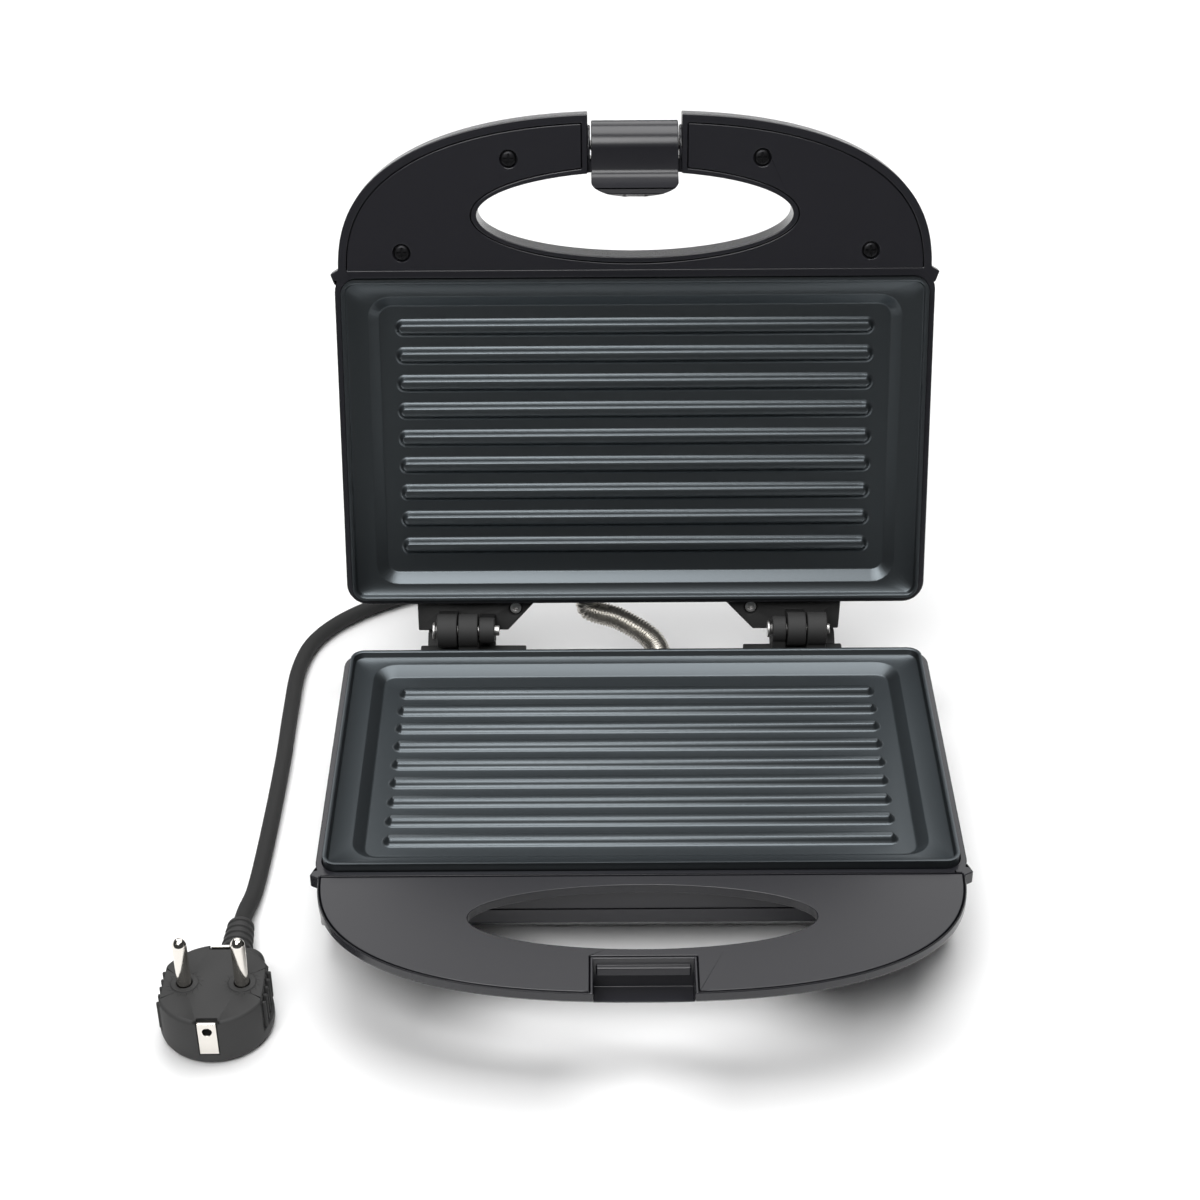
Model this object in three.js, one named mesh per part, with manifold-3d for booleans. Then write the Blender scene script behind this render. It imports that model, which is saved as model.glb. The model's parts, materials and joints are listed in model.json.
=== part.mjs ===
// Panini press: a hinged sandwich toaster with two ribbed plates, standing open on its feet.
// Millimetres. X runs to the right, Y to the back, Z up. The origin is on the table under the
// middle of the body, measured without the cord.
import * as THREE from "three";
import { mergeVertices } from "three/addons/utils/BufferGeometryUtils.js";
import Module from "manifold-3d";

const wasm = await Module();
wasm.setup();

// ---------------------------------------------------------------- driving dimensions
const GAP = 0.3;                    // clearance between pieces that touch
const RIM_HEIGHT = 42;              // lower plate's rim above the table
const PLATE_REAR_Y = 49.27;         // lower plate's rear edge from the middle of the body
const OPEN_ANGLE = 105.9;           // lid from closed to its stop, degrees
const AXIS_Y = 12.1;                // hinge axis behind the plate's rear edge
const AXIS_Z = 0.3;                 // hinge axis above the lower rim

const PLATE = {
  width: 215, depth: 122.9, corner: 5, lip: 1.4, lipHeight: 2.6, side: 9, front: 6.1, rear: 5.6,
  panDepth: 3.2, panSlope: 4.6, body: 9.2,
};
const RIB = { count: 9, first: 20.1, pitch: 10.52, length: 177.6, foot: 7, height: 2.2, flank: 2.3 };

const COVER_DROP = 3;               // handle's face below the plate's rim
const HOUSING = { halfWidth: 110, back: 2.4, corner: 8, wall: 2.2, floor: 2.4, root: 124, round: 5 };
const BASE_DEPTH = 34;              // rim down to the base's underside
const LID_DEPTH = 36;               // rim down to the lid's outer face
const HANDLE = { halfWidth: 108.5, reach: 182.3, power: 2.5, bottom: 17.7, wall: 3, floor: 2.5, round: 5 };
const FINGER = { centre: 146.1, halfWidth: 57.5, halfDepth: 15.5, collar: 2 };
const COVER = { thickness: 2.4, inset: 3.3 };
// The base alone: slanted undersides of handle and body, and a cover that reaches the handle's edge.
const BASE_EDGE = { handle: 11.2, handleRoom: 9, body: 10, bodyWall: 3.4 };
const BASE_COVER = { inset: 1, rebate: 0.7, notchWall: 1, lip: 1.2, lipBottom: 6.5 };
const BASE_WELL = { halfWidth: 62, front: 161.7, back: 126.05, corner: 8 };
const LID_NOTCH = { halfWidth: 17, back: 165.6, wall: 2, barTop: 5.2 };
const BASE_NOTCH = { halfWidth: 16.2, back: 166.1, wall: 2, floor: 15.2 };
const TAB = { tip: 111.4, length: 5 };

const LATCH = { axle: 170.2, depth: 10.3, halfWidth: 15.7, barrel: 8.8, hub: 4.2, bore: 1.85 };
const AXLE = { radius: 1.75, halfLength: 19 };
const BEARING = { radius: 7.2, height: 0.9 };

const PIN = { radius: 2, bore: 2.1 };
const KNUCKLE = { radius: 6.5, small: 5 };
const HINGE_BLOCK = { front: 2.7, back: 15.1, near: 9, far: 20.5 };

const ELEMENT = { radius: 3.3, depth: 12.9 };
const SHIELD = { top: 11, bottom: 20, sheet: 0.8, halfWidth: 104, front: 119.5, rear: 3.4 };
const PLATE_SCREW = { x: 92, front: 103, rear: 20, bossRadius: 4, bossEnd: 18.9 };
const FOOT = { x: 92, front: 104.5, rear: 9, radius: 8 };

const CONDUIT = { radius: 4.5, baseX: 10, baseZ: -15, lidX: -18, lidDepth: 15.5 };
const CORD = { radius: 3.05, exitX: 57, exitZ: -27.5, reliefLength: 28 };
const PLUG = {
  x: -141.5, y: -155.5, radius: 19, height: 19, lift: 0.15, shoulder: 13, cordX: -138.6, cordRise: 6.2,
  pinSpacing: 19, pinRadius: 2.4, pinLength: 19, clipReach: 17.8,
};
const PLUG_FACE = -RIM_HEIGHT + PLUG.lift + PLUG.height;
const LAMP_Y = -40;                 // both pilot lamps from the plate's hinge edge
const HANDLE_SCREWS = [[-46, -166.4], [45.5, -166.4], [-86, -132.6], [85, -132.6]];

// ---------------------------------------------------------------- materials
function material(color, roughness, metalness) {
  return () => new THREE.MeshStandardMaterial({ color, roughness, metalness });
}
const blackPlastic = material(0x16161a, 0.22, 0);
const mattePlastic = material(0x26262a, 0.6, 0);
const castCoated = material(0x3b4046, 0.45, 0.3);
const steel = material(0xb4b4b0, 0.35, 1);
const nickel = material(0xd0ccc4, 0.2, 1);
const rubber = material(0x141414, 0.9, 0);
const ceramic = material(0xe6e2d8, 0.7, 0);
const lens = material(0xa01810, 0.1, 0);

// ---------------------------------------------------------------- solids
function toSolid(geometry) {
  const bare = geometry.index ? geometry.toNonIndexed() : geometry.clone();
  bare.deleteAttribute("normal");
  bare.deleteAttribute("uv");
  const merged = mergeVertices(bare, 1e-4);
  return new wasm.Manifold(new wasm.Mesh({
    numProp: 3,
    vertProperties: Float32Array.from(merged.attributes.position.array),
    triVerts: Uint32Array.from(merged.index.array),
  }));
}

function toGeometry(solid) {
  const result = solid.getMesh();
  const geometry = new THREE.BufferGeometry();
  geometry.setAttribute("position", new THREE.BufferAttribute(Float32Array.from(result.vertProperties), 3));
  geometry.setIndex(new THREE.BufferAttribute(Uint32Array.from(result.triVerts), 1));
  geometry.computeVertexNormals();
  return geometry;
}

function join(...solids) {
  return solids.reduce((sum, solid) => sum.add(solid));
}

function cut(body, ...tools) {
  return tools.reduce((left, tool) => left.subtract(tool), body);
}

// A flat outline raised from low to high along Z. round is the bevel at the low edge.
function prism(shape, low, high, round = 0, segments = 12, steps = 3) {
  if (round === 0) {
    const options = { depth: high - low, bevelEnabled: false, curveSegments: segments };
    return toSolid(new THREE.ExtrudeGeometry(shape, options).translate(0, 0, low));
  }
  const options = {
    depth: high - low, bevelEnabled: true, bevelThickness: round, bevelSize: round, bevelOffset: -round,
    bevelSegments: steps, curveSegments: segments,
  };
  const rounded = new THREE.ExtrudeGeometry(shape, options).translate(0, 0, low + round);
  return toSolid(rounded).subtract(box(-400, 400, -400, 400, high, high + 4 * round + 10));
}

function box(x0, x1, y0, y1, z0, z1) {
  const block = new THREE.BoxGeometry(x1 - x0, y1 - y0, z1 - z0);
  return toSolid(block.translate((x0 + x1) / 2, (y0 + y1) / 2, (z0 + z1) / 2));
}

function cylinderZ(radius, x, y, z0, z1, sides = 16, topRadius = radius) {
  const tube = new THREE.CylinderGeometry(topRadius, radius, z1 - z0, sides).rotateX(Math.PI / 2);
  return toSolid(tube.translate(x, y, (z0 + z1) / 2));
}

function cylinderX(radius, x0, x1, y, z, sides = 24) {
  const tube = new THREE.CylinderGeometry(radius, radius, x1 - x0, sides).rotateZ(Math.PI / 2);
  return toSolid(tube.translate((x0 + x1) / 2, y, z));
}

function cylinderY(radius, y0, y1, x, z, sides = 16, backRadius = radius) {
  const tube = new THREE.CylinderGeometry(backRadius, radius, y1 - y0, sides);
  return toSolid(tube.translate(x, (y0 + y1) / 2, z));
}

// A side view given as [y, z] points, run along X from x0 to x1.
function profileX(points, x0, x1) {
  const outline = new THREE.Shape(points.map(([y, z]) => new THREE.Vector2(y, z)));
  const along = new THREE.ExtrudeGeometry(outline, { depth: x1 - x0, bevelEnabled: false });
  const cycle = new THREE.Matrix4().makeBasis(
    new THREE.Vector3(0, 1, 0), new THREE.Vector3(0, 0, 1), new THREE.Vector3(1, 0, 0));
  return toSolid(along.applyMatrix4(cycle).translate(x0, 0, 0));
}

// ---------------------------------------------------------------- outlines seen from above
function roundedRectangle(x0, x1, y0, y1, radius) {
  const shape = new THREE.Shape();
  shape.moveTo(x0 + radius, y0);
  shape.lineTo(x1 - radius, y0);
  shape.absarc(x1 - radius, y0 + radius, radius, -Math.PI / 2, 0, false);
  shape.lineTo(x1, y1 - radius);
  shape.absarc(x1 - radius, y1 - radius, radius, 0, Math.PI / 2, false);
  shape.lineTo(x0 + radius, y1);
  shape.absarc(x0 + radius, y1 - radius, radius, Math.PI / 2, Math.PI, false);
  shape.lineTo(x0, y0 + radius);
  shape.absarc(x0 + radius, y0 + radius, radius, Math.PI, Math.PI * 1.5, false);
  return shape;
}

// The handle's bow: a superellipse in front of the plate, drawn in by inset and cut off at rootY.
function bow(inset, rootY = -HOUSING.root, count = 28) {
  const halfWidth = HANDLE.halfWidth - inset;
  const reach = HANDLE.reach - HOUSING.root - inset;
  const points = [new THREE.Vector2(-halfWidth, rootY)];
  for (let i = 1; i < count; i++) {
    const angle = Math.PI * i / count;
    const x = -Math.sign(Math.cos(angle)) * Math.abs(Math.cos(angle)) ** (2 / HANDLE.power) * halfWidth;
    const y = -HOUSING.root - Math.sin(angle) ** (2 / HANDLE.power) * reach;
    if (y < rootY - 0.5) {
      points.push(new THREE.Vector2(x, y));
    }
  }
  points.push(new THREE.Vector2(halfWidth, rootY));
  return new THREE.Shape(points);
}

function fingerHole(grow) {
  const shape = new THREE.Shape();
  const { centre, halfWidth, halfDepth } = FINGER;
  shape.absellipse(0, -centre, halfWidth + grow, halfDepth + grow, 0, 2 * Math.PI, false, 0);
  return prism(shape, -LID_DEPTH - 5, 5, 0, 16);
}

// ---------------------------------------------------------------- pieces shared by base and lid, face up
// Both halves are drawn face up: plate rim at z = 0, plate's hinge edge at y = 0, handle at -y.
function grillPlate() {
  const { width, depth, corner, lip, lipHeight, side, front, rear, panDepth, panSlope, body } = PLATE;
  const half = width / 2;
  const casting = prism(roundedRectangle(-half, half, -depth, 0, corner), -body, 0, 0, 2);
  const rimShape = roundedRectangle(-half + lip, half - lip, -depth + lip, -lip, corner - lip);
  const rimCut = prism(rimShape, -lipHeight, 1, 0, 2);
  const panShape = roundedRectangle(-half + side + panSlope, half - side - panSlope,
                                    -depth + front + panSlope, -rear - panSlope, 3);
  const panGeometry = new THREE.ExtrudeGeometry(panShape, {
    depth: 0.4, bevelEnabled: true, bevelThickness: panDepth, bevelSize: panSlope, bevelSegments: 1,
    curveSegments: 2,
  });
  const panCut = toSolid(panGeometry.translate(0, 0, -lipHeight));
  const floorZ = -lipHeight - panDepth;
  const ribs = [];
  for (let i = 0; i < RIB.count; i++) {
    const y = -RIB.first - i * RIB.pitch;
    const topHalf = RIB.foot / 2 - RIB.flank;
    const end = RIB.length / 2 - RIB.flank;
    const ribShape = roundedRectangle(-end, end, y - topHalf, y + topHalf, topHalf - 0.01);
    const ribGeometry = new THREE.ExtrudeGeometry(ribShape, {
      depth: 0.3, bevelEnabled: true, bevelThickness: RIB.height, bevelSize: RIB.flank, bevelSegments: 1,
      curveSegments: 1,
    });
    ribs.push(toSolid(ribGeometry.translate(0, 0, floorZ - 0.3)));
  }
  const bosses = platePoints().map(([x, y]) => cut(
    cylinderZ(PLATE_SCREW.bossRadius, x, y, -PLATE_SCREW.bossEnd, -body + 1),
    cylinderZ(1.6, x, y, -PLATE_SCREW.bossEnd - 1, -11, 12)));
  return join(cut(casting, rimCut, panCut), ...ribs, ...bosses);
}

function platePoints() {
  const { x, front, rear } = PLATE_SCREW;
  return [[-x, -front], [x, -front], [-x, -rear], [x, -rear]];
}

function heatShield() {
  const { top, bottom, sheet, halfWidth, front, rear } = SHIELD;
  const tray = prism(roundedRectangle(-halfWidth, halfWidth, -front, -rear, 6), -bottom, -top, 0, 3);
  const innerShape = roundedRectangle(
    -halfWidth + sheet, halfWidth - sheet, -front + sheet, -rear - sheet, 5);
  const inner = prism(innerShape, -bottom + sheet, 0, 0, 3);
  const holes = platePoints().map(([x, y]) => cylinderZ(2.4, x, y, -bottom - 1, -bottom + 2, 12));
  const wireHole = box(-8, 8, -24, -16, -bottom - 1, -bottom + 2);
  return cut(tray, inner, wireHole, ...holes);
}

function heatingElement() {
  const depth = -ELEMENT.depth;
  const path = new THREE.CatmullRomCurve3([
    [-24, -18], [-60, -18], [-78, -24], [-80, -45], [-80, -80], [-76, -98], [-58, -104],
    [0, -105], [58, -104], [76, -98], [80, -80], [80, -45], [78, -24], [60, -18], [24, -18],
  ].map(([x, y]) => new THREE.Vector3(x, y, depth)), false, "centripetal");
  const section = new THREE.Shape().absarc(0, 0, ELEMENT.radius, 0, 2 * Math.PI, false);
  return toSolid(new THREE.ExtrudeGeometry(section, { steps: 34, curveSegments: 4, extrudePath: path }));
}

function elementClamp() {
  return box(-88, 88, -68, -60, -18.4, -16.8);
}

function plateScrew(x, y, headTop, tip) {
  const head = cylinderZ(3.2, x, y, headTop - 2.2, headTop, 12);
  const shank = cylinderZ(1.4, x, y, headTop - 1, tip, 8);
  const slot = box(x - 2.2, x + 2.2, y - 0.4, y + 0.4, headTop - 3, headTop - 1.3);
  const cross = box(x - 0.4, x + 0.4, y - 2.2, y + 2.2, headTop - 3, headTop - 1.3);
  return cut(join(head, shank), slot, cross);
}

// Outer shell of one half: a tray under the plate and a bow-shaped handle. slant is the tray's chamfer.
function housingShell({ depth, notch, slant, handleEdge, handleSteps, roomEdge, opening, openingWalls }) {
  const { halfWidth, back, corner, wall, floor, root, round } = HOUSING;
  const outside = roundedRectangle(-halfWidth, halfWidth, -root - 2, back, corner);
  const body = cut(prism(outside, -depth, -COVER_DROP, round, 3, 2), ...frontWedge(depth, slant, 0));
  const handle = prism(bow(0, -root + 20), -HANDLE.bottom, -COVER_DROP, handleEdge, 4, handleSteps);
  const tabs = [-1, 1].map((side) => prism(new THREE.Shape([
    new THREE.Vector2(side * (halfWidth - 6), -root - TAB.length),
    new THREE.Vector2(side * TAB.tip, -root - 0.8),
    new THREE.Vector2(side * halfWidth, -root + 3),
    new THREE.Vector2(side * (halfWidth - 6), -root + 3),
  ]), -COVER_DROP - 5, -COVER_DROP, 0, 2));
  const inside = roundedRectangle(
    -halfWidth + wall, halfWidth - wall, -PLATE.depth - GAP, GAP, corner - 2);
  const plateRoom = cut(
    prism(inside, -depth + floor, 1, 0, 2), ...frontWedge(depth, slant, BASE_EDGE.bodyWall));
  const notchWalls = notch.halfWidth + notch.wall;
  const roomRoot = roomEdge > 0 ? -root + 20 : -PLATE.depth - GAP - wall;
  const handleRoom = cut(
    prism(bow(HANDLE.wall, roomRoot), -HANDLE.bottom + HANDLE.floor, 1, roomEdge, 4, 1),
    box(-150, 150, -PLATE.depth - GAP - wall, 0, -60, 10),
    openingWalls,
    box(-notchWalls, notchWalls, -190, -FINGER.centre, -40, 2));
  return cut(join(body, handle, ...tabs), plateRoom, handleRoom, opening);
}

// The corner below a 45 degree line at the tray's front edge, raised by the wall for the room inside.
function frontWedge(depth, slant, wall) {
  if (slant === 0) {
    return [];
  }
  const front = -HOUSING.root - 2;
  return [profileX([[front - 1, -depth + slant + 1 + wall], [front - 1, -depth - 1],
                    [front + slant + 1 + wall, -depth - 1]], -150, 150)];
}

function coverPlate(inset, top, notchRoom, hole) {
  const outline = bow(inset, -PLATE.depth - GAP - HOUSING.wall - 0.6);
  return cut(prism(outline, top - COVER.thickness, top, 0, 4), hole, notchRoom);
}

// The base's flush cover: its finger hole is edged by a thin wall that turns down.
function baseCover() {
  const { inset, notchWall, lip, lipBottom } = BASE_COVER;
  const walls = BASE_NOTCH.halfWidth + notchWall + GAP;
  const notchRoom = box(-walls, walls, -190, -BASE_NOTCH.back + notchWall + GAP, -10, 2);
  const plate = coverPlate(inset, -COVER_DROP, notchRoom, fingerHole(0));
  const band = box(-150, 150, -190, -100, -lipBottom, -COVER_DROP - 1);
  return join(plate, cut(fingerHole(lip).intersect(band), fingerHole(0)));
}

function well(grow) {
  const { halfWidth, front, back, corner } = BASE_WELL;
  const shape = roundedRectangle(
    -halfWidth - grow, halfWidth + grow, -front - grow, -back + grow, corner + grow);
  return prism(shape, -60, grow === 0 ? 2 : -COVER_DROP - COVER.thickness - GAP, 0, 4);
}

// ---------------------------------------------------------------- base
function baseShell() {
  const { halfWidth, back, floor } = BASE_NOTCH;
  const rebateWall = halfWidth + BASE_COVER.notchWall;
  const rebate = cut(
    prism(bow(BASE_COVER.rebate, -PLATE.depth - GAP - HOUSING.wall),
          -COVER_DROP - COVER.thickness - GAP, 2, 0, 4),
    box(-rebateWall, rebateWall, -190, -back + BASE_COVER.notchWall, -40, 3));
  const shell = cut(housingShell({
    depth: BASE_DEPTH, notch: BASE_NOTCH, slant: BASE_EDGE.body, handleEdge: BASE_EDGE.handle,
    handleSteps: 1, roomEdge: BASE_EDGE.handleRoom, opening: well(0), openingWalls: well(2),
  }), rebate, fingerHole(BASE_COVER.lip + GAP).intersect(
    box(-150, 150, -190, -100, -BASE_COVER.lipBottom - GAP, 2)));
  const pocket = box(-halfWidth, halfWidth, -190, -back, -floor, 2);
  const frontRelief = box(-halfWidth, halfWidth, -190, -HANDLE.reach + 1.9, -30, 2);
  const ridgeOutline = [[-back - 2.2, -8.6], [-back - 1.4, -6], [-back + 0.5, -5.6], [-back + 0.5, -9]];
  const catchRidge = profileX(ridgeOutline, -halfWidth + 1, halfWidth - 1);
  const conduitHole = cylinderY(CONDUIT.radius + 0.7, -1, 4, CONDUIT.baseX, CONDUIT.baseZ, 16);
  const cordHole = cylinderY(5 + GAP, -1, 4, CORD.exitX, CORD.exitZ, 16);
  const posts = platePoints().map(([x, y]) => cylinderZ(5, x, y, -BASE_DEPTH + 1, -SHIELD.bottom - GAP, 16));
  const screwWells = platePoints().map(([x, y]) => join(
    cylinderZ(3.8, x, y, -BASE_DEPTH - 1, -27.5, 16), cylinderZ(1.7, x, y, -28, -15, 12)));
  const footWells = footPoints().map(([, x, y]) => cylinderZ(
    3.4, x, y, -BASE_DEPTH - 1, -BASE_DEPTH + 1.5, 12));
  const drilled = join(cut(shell, pocket, frontRelief, conduitHole, cordHole), ...posts);
  return join(cut(drilled, ...screwWells, ...footWells), catchRidge);
}

function footPoints() {
  const { x, front, rear } = FOOT;
  return [
    ["front_left", -x, -front], ["front_right", x, -front],
    ["rear_left", -x, -rear], ["rear_right", x, -rear],
  ];
}

function foot(x, y) {
  const pad = cylinderZ(FOOT.radius, x, y, -RIM_HEIGHT, -BASE_DEPTH - GAP, 20, FOOT.radius + 1);
  const stem = cylinderZ(3, x, y, -BASE_DEPTH - 1, -BASE_DEPTH + 1.2, 12);
  const hollow = cylinderZ(4, x, y, -RIM_HEIGHT - 1, -RIM_HEIGHT + 1.5, 16);
  return cut(join(pad, stem), hollow);
}

// Side view of a knuckle: a drum on the hinge axis and the web that carries it, below the axis.
function knuckle(x0, x1, radius) {
  const drum = cylinderX(radius, x0, x1, AXIS_Y, AXIS_Z, 24);
  const web = box(x0, x1, AXIS_Y - radius * 0.75, AXIS_Y + 2.6,
                  AXIS_Z - HINGE_BLOCK.near - 1, AXIS_Z - radius * 0.3);
  return cut(join(drum, web), cylinderX(PIN.bore, x0 - 1, x1 + 1, AXIS_Y, AXIS_Z, 24));
}

// A hinge bracket below the axis: a block on the housing's back wall with its knuckles.
function bracket(outline, knuckles) {
  const { front, back, near, far } = HINGE_BLOCK;
  const seen = new THREE.Shape(outline.map(([x, y]) => new THREE.Vector2(x, y)));
  const block = prism(seen, AXIS_Z - far, AXIS_Z - near, 0, 2)
    .intersect(box(-400, 400, front, back, -100, 100));
  return join(block, ...knuckles.map(([x0, x1, radius]) => knuckle(x0, x1, radius)));
}

function baseHinge(x0, x1, knuckles, stopX0, stopX1) {
  const { front, back } = HINGE_BLOCK;
  const block = bracket([[x0, front], [x1, front], [x1, back], [x0, back]], knuckles);
  const stop = profileX([[back - 1, AXIS_Z - 10.5], [back + 4.9, AXIS_Z - 6.4], [back + 11.6, AXIS_Z - 8.3],
                         [back + 11.6, AXIS_Z - 11], [back - 1, AXIS_Z - 18]], stopX0, stopX1);
  return join(block, stop);
}

function hingePin(x0, x1) {
  const head = cylinderX(3.2, x0 - 1.2, x0 - GAP, AXIS_Y, AXIS_Z, 24);
  return join(head, cylinderX(PIN.radius, x0 - 1, x1 + 0.6, AXIS_Y, AXIS_Z, 24));
}

function strainRelief() {
  const { exitX, exitZ, reliefLength } = CORD;
  const sleeve = cylinderY(4.9, 0.4, HOUSING.back + 2.6, exitX, exitZ, 16);
  const collar = cylinderY(6.6, HOUSING.back + GAP, HOUSING.back + 2.6, exitX, exitZ, 20);
  const taper = cylinderY(5, HOUSING.back + 2, HOUSING.back + reliefLength, exitX, exitZ, 16, 3.9);
  const groove = cylinderY(CORD.radius + 0.35, 10, HOUSING.back + reliefLength + 1, exitX, exitZ, 16);
  return cut(join(sleeve, collar, taper), groove);
}

function cordRoute() {
  const lie = -RIM_HEIGHT + CORD.radius + 0.5;
  const start = HOUSING.back + CORD.reliefLength;
  return [
    [CORD.exitX, 10.3, CORD.exitZ], [CORD.exitX, 20, CORD.exitZ], [CORD.exitX, start + 1, CORD.exitZ],
    [57.6, 42, -29.5], [60, 56, lie + 2],
    [68, 74, lie], [82, 98, lie], [95, 134, lie], [98, 176, lie], [83, 212, lie], [48, 229, lie],
    [11, 221, lie], [-17, 196, lie], [-36, 160, lie], [-52, 127, lie], [-74, 104, lie], [-98, 91, lie],
    [-113, 81, lie], [-124, 70, lie], [-131, 58, lie], [-134.6, 41, lie],
    [-135, 14, lie], [-134.6, -18, lie], [-135.6, -72, lie], [-136.8, -94, lie],
    [-138.2, -105, lie + 1.6], [PLUG.cordX, -113, -35.7], [PLUG.cordX, -122.4, -35.65],
  ].map(([x, y, z]) => new THREE.Vector3(x, y, z));
}

function powerCord() {
  const path = new THREE.CatmullRomCurve3(cordRoute(), false, "centripetal");
  const section = new THREE.Shape().absarc(0, 0, CORD.radius, 0, 2 * Math.PI, false);
  return toSolid(new THREE.ExtrudeGeometry(section, { steps: 76, curveSegments: 4, extrudePath: path }));
}

function plugBody() {
  const { x, y, radius, height, shoulder, cordX, cordRise, pinSpacing, pinRadius, clipReach } = PLUG;
  const table = PLUG_FACE - height;
  const puckShape = new THREE.Shape().absarc(x, y, radius, 0, 2 * Math.PI, false);
  const puck = prism(puckShape, table, PLUG_FACE, 3, 8, 2);
  const shoulders = prism(roundedRectangle(x - 14, x + 14, y, y + 25, 6), table, table + shoulder, 3, 3, 2);
  const boot = cylinderY(6.1, y + 20, y + 42, cordX, table + cordRise, 16, 4.6);
  const cordBore = cylinderY(CORD.radius + 0.5, y + 32, y + 44, cordX, table + cordRise, 16);
  const grips = [-1, 1].map((side) => {
    const middle = x + side * (radius + 1);
    return box(middle - 3.4, middle + 3.4, y - 9, y + 9, PLUG_FACE - 13, PLUG_FACE + 1);
  });
  const pinBores = [-1, 1].map((side) => cylinderZ(
    pinRadius + GAP, x + side * pinSpacing / 2, y, PLUG_FACE - 8, PLUG_FACE + 1, 16));
  const clipSlots = [-1, 1].map((side) => {
    const middle = y + side * clipReach;
    return box(x - 3.4, x + 3.4, middle - 1.6, middle + 1.6, PLUG_FACE - 14, PLUG_FACE + 1);
  });
  return cut(join(puck, shoulders, boot), ...grips, ...pinBores, ...clipSlots, cordBore);
}

function plugPin(side) {
  const { y, pinSpacing, pinRadius, pinLength } = PLUG;
  const x = PLUG.x + side * pinSpacing / 2;
  const shank = cylinderZ(pinRadius, x, y, PLUG_FACE - 7.7, PLUG_FACE + pinLength - 1.6, 16);
  const tip = cylinderZ(pinRadius, x, y, PLUG_FACE + pinLength - 1.7, PLUG_FACE + pinLength, 16, 1.2);
  return join(shank, tip);
}

function earthClip(side) {
  const { x } = PLUG;
  const y = PLUG.y + side * PLUG.clipReach;
  const strip = box(x - 3.1, x + 3.1, Math.min(y, y + side), Math.max(y, y + side),
                    PLUG_FACE - 13.7, PLUG_FACE - 0.4);
  return cut(strip, cylinderY(1.6, y - 3, y + 3, x, PLUG_FACE - 4, 12));
}

function wireConduit() {
  const lidSide = lidToWorld(new THREE.Vector3(CONDUIT.lidX, 0, 0), CONDUIT.lidDepth);
  const path = new THREE.CatmullRomCurve3([
    new THREE.Vector3(CONDUIT.baseX, -0.5, CONDUIT.baseZ),
    new THREE.Vector3(CONDUIT.baseX, 8, CONDUIT.baseZ + 1),
    new THREE.Vector3(CONDUIT.baseX - 3, 19, CONDUIT.baseZ + 5), new THREE.Vector3(-6, 25.5, -4),
    lidSide(6), lidSide(0), lidSide(-3),
  ], false, "centripetal");
  const section = new THREE.Shape().absarc(0, 0, CONDUIT.radius, 0, 2 * Math.PI, false);
  return toSolid(new THREE.ExtrudeGeometry(section, { steps: 16, curveSegments: 6, extrudePath: path }));
}

// Gives a function of the distance out of the lid's back wall, at one point of that wall.
function lidToWorld(point, depth) {
  return (out) => {
    const angle = THREE.MathUtils.degToRad(OPEN_ANGLE);
    const y = out + HOUSING.back - AXIS_Y;
    const z = AXIS_Z + depth;
    return new THREE.Vector3(point.x, AXIS_Y + y * Math.cos(angle) + z * Math.sin(angle),
                             AXIS_Z - y * Math.sin(angle) + z * Math.cos(angle));
  };
}

// ---------------------------------------------------------------- lid, drawn face up like the base
function lidShell() {
  const shell = housingShell({
    depth: LID_DEPTH, notch: LID_NOTCH, slant: 0, handleEdge: HANDLE.round, handleSteps: 2, roomEdge: 0,
    opening: fingerHole(0), openingWalls: fingerHole(FINGER.collar),
  });
  const { halfWidth, back, barTop } = LID_NOTCH;
  const notch = box(-halfWidth, halfWidth, -190, -back, -40, 2);
  const barCut = box(-halfWidth, halfWidth, -back - 1, -FINGER.centre, -barTop, 2);
  const bearings = [-1, 1].map((side) => cylinderX(BEARING.radius,
    Math.min(side * halfWidth, side * (halfWidth - BEARING.height)) - (side < 0 ? 0.5 : 0),
    Math.max(side * halfWidth, side * (halfWidth - BEARING.height)) + (side > 0 ? 0.5 : 0),
    -LATCH.axle, -LATCH.depth, 20));
  const axleHole = cylinderX(LATCH.bore, -24, 24, -LATCH.axle, -LATCH.depth, 16);
  const conduitHole = cylinderY(CONDUIT.radius + 0.7, -1, 4, -CONDUIT.lidX, -CONDUIT.lidDepth, 16);
  const lensHoles = lampPoints().map(([, x]) => cylinderZ(
    3.3, x, LAMP_Y, -LID_DEPTH - 1, -LID_DEPTH + 4, 16));
  const postTop = -COVER_DROP - COVER.thickness - GAP;
  const posts = HANDLE_SCREWS.map(([x, y]) => cylinderZ(3.6, x, y, -HANDLE.bottom + 1, postTop, 12));
  const postBores = HANDLE_SCREWS.map(([x, y]) => cylinderZ(1.5, x, y, -HANDLE.bottom + 4, 0, 8));
  const trimmed = join(cut(shell, notch, barCut, conduitHole, ...lensHoles), ...bearings, ...posts);
  return cut(trimmed, axleHole, ...postBores);
}

function lampPoints() {
  return [["power", -8], ["ready", 8]];
}

function lampLens(x) {
  const inner = -LID_DEPTH + HOUSING.floor;
  const dome = cylinderZ(3, x, LAMP_Y, -LID_DEPTH - 0.6, -LID_DEPTH + 3, 16);
  const flange = cylinderZ(4.4, x, LAMP_Y, inner + GAP, inner + 1.4, 16);
  return join(dome, flange);
}

function neonLamp(x) {
  const bottom = -LID_DEPTH + HOUSING.floor + 1.8;
  const bulb = cylinderZ(2, x, LAMP_Y, bottom, bottom + 7, 12);
  return join(bulb, cylinderZ(0.5, x, LAMP_Y, bottom + 6, bottom + 9, 6));
}

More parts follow.
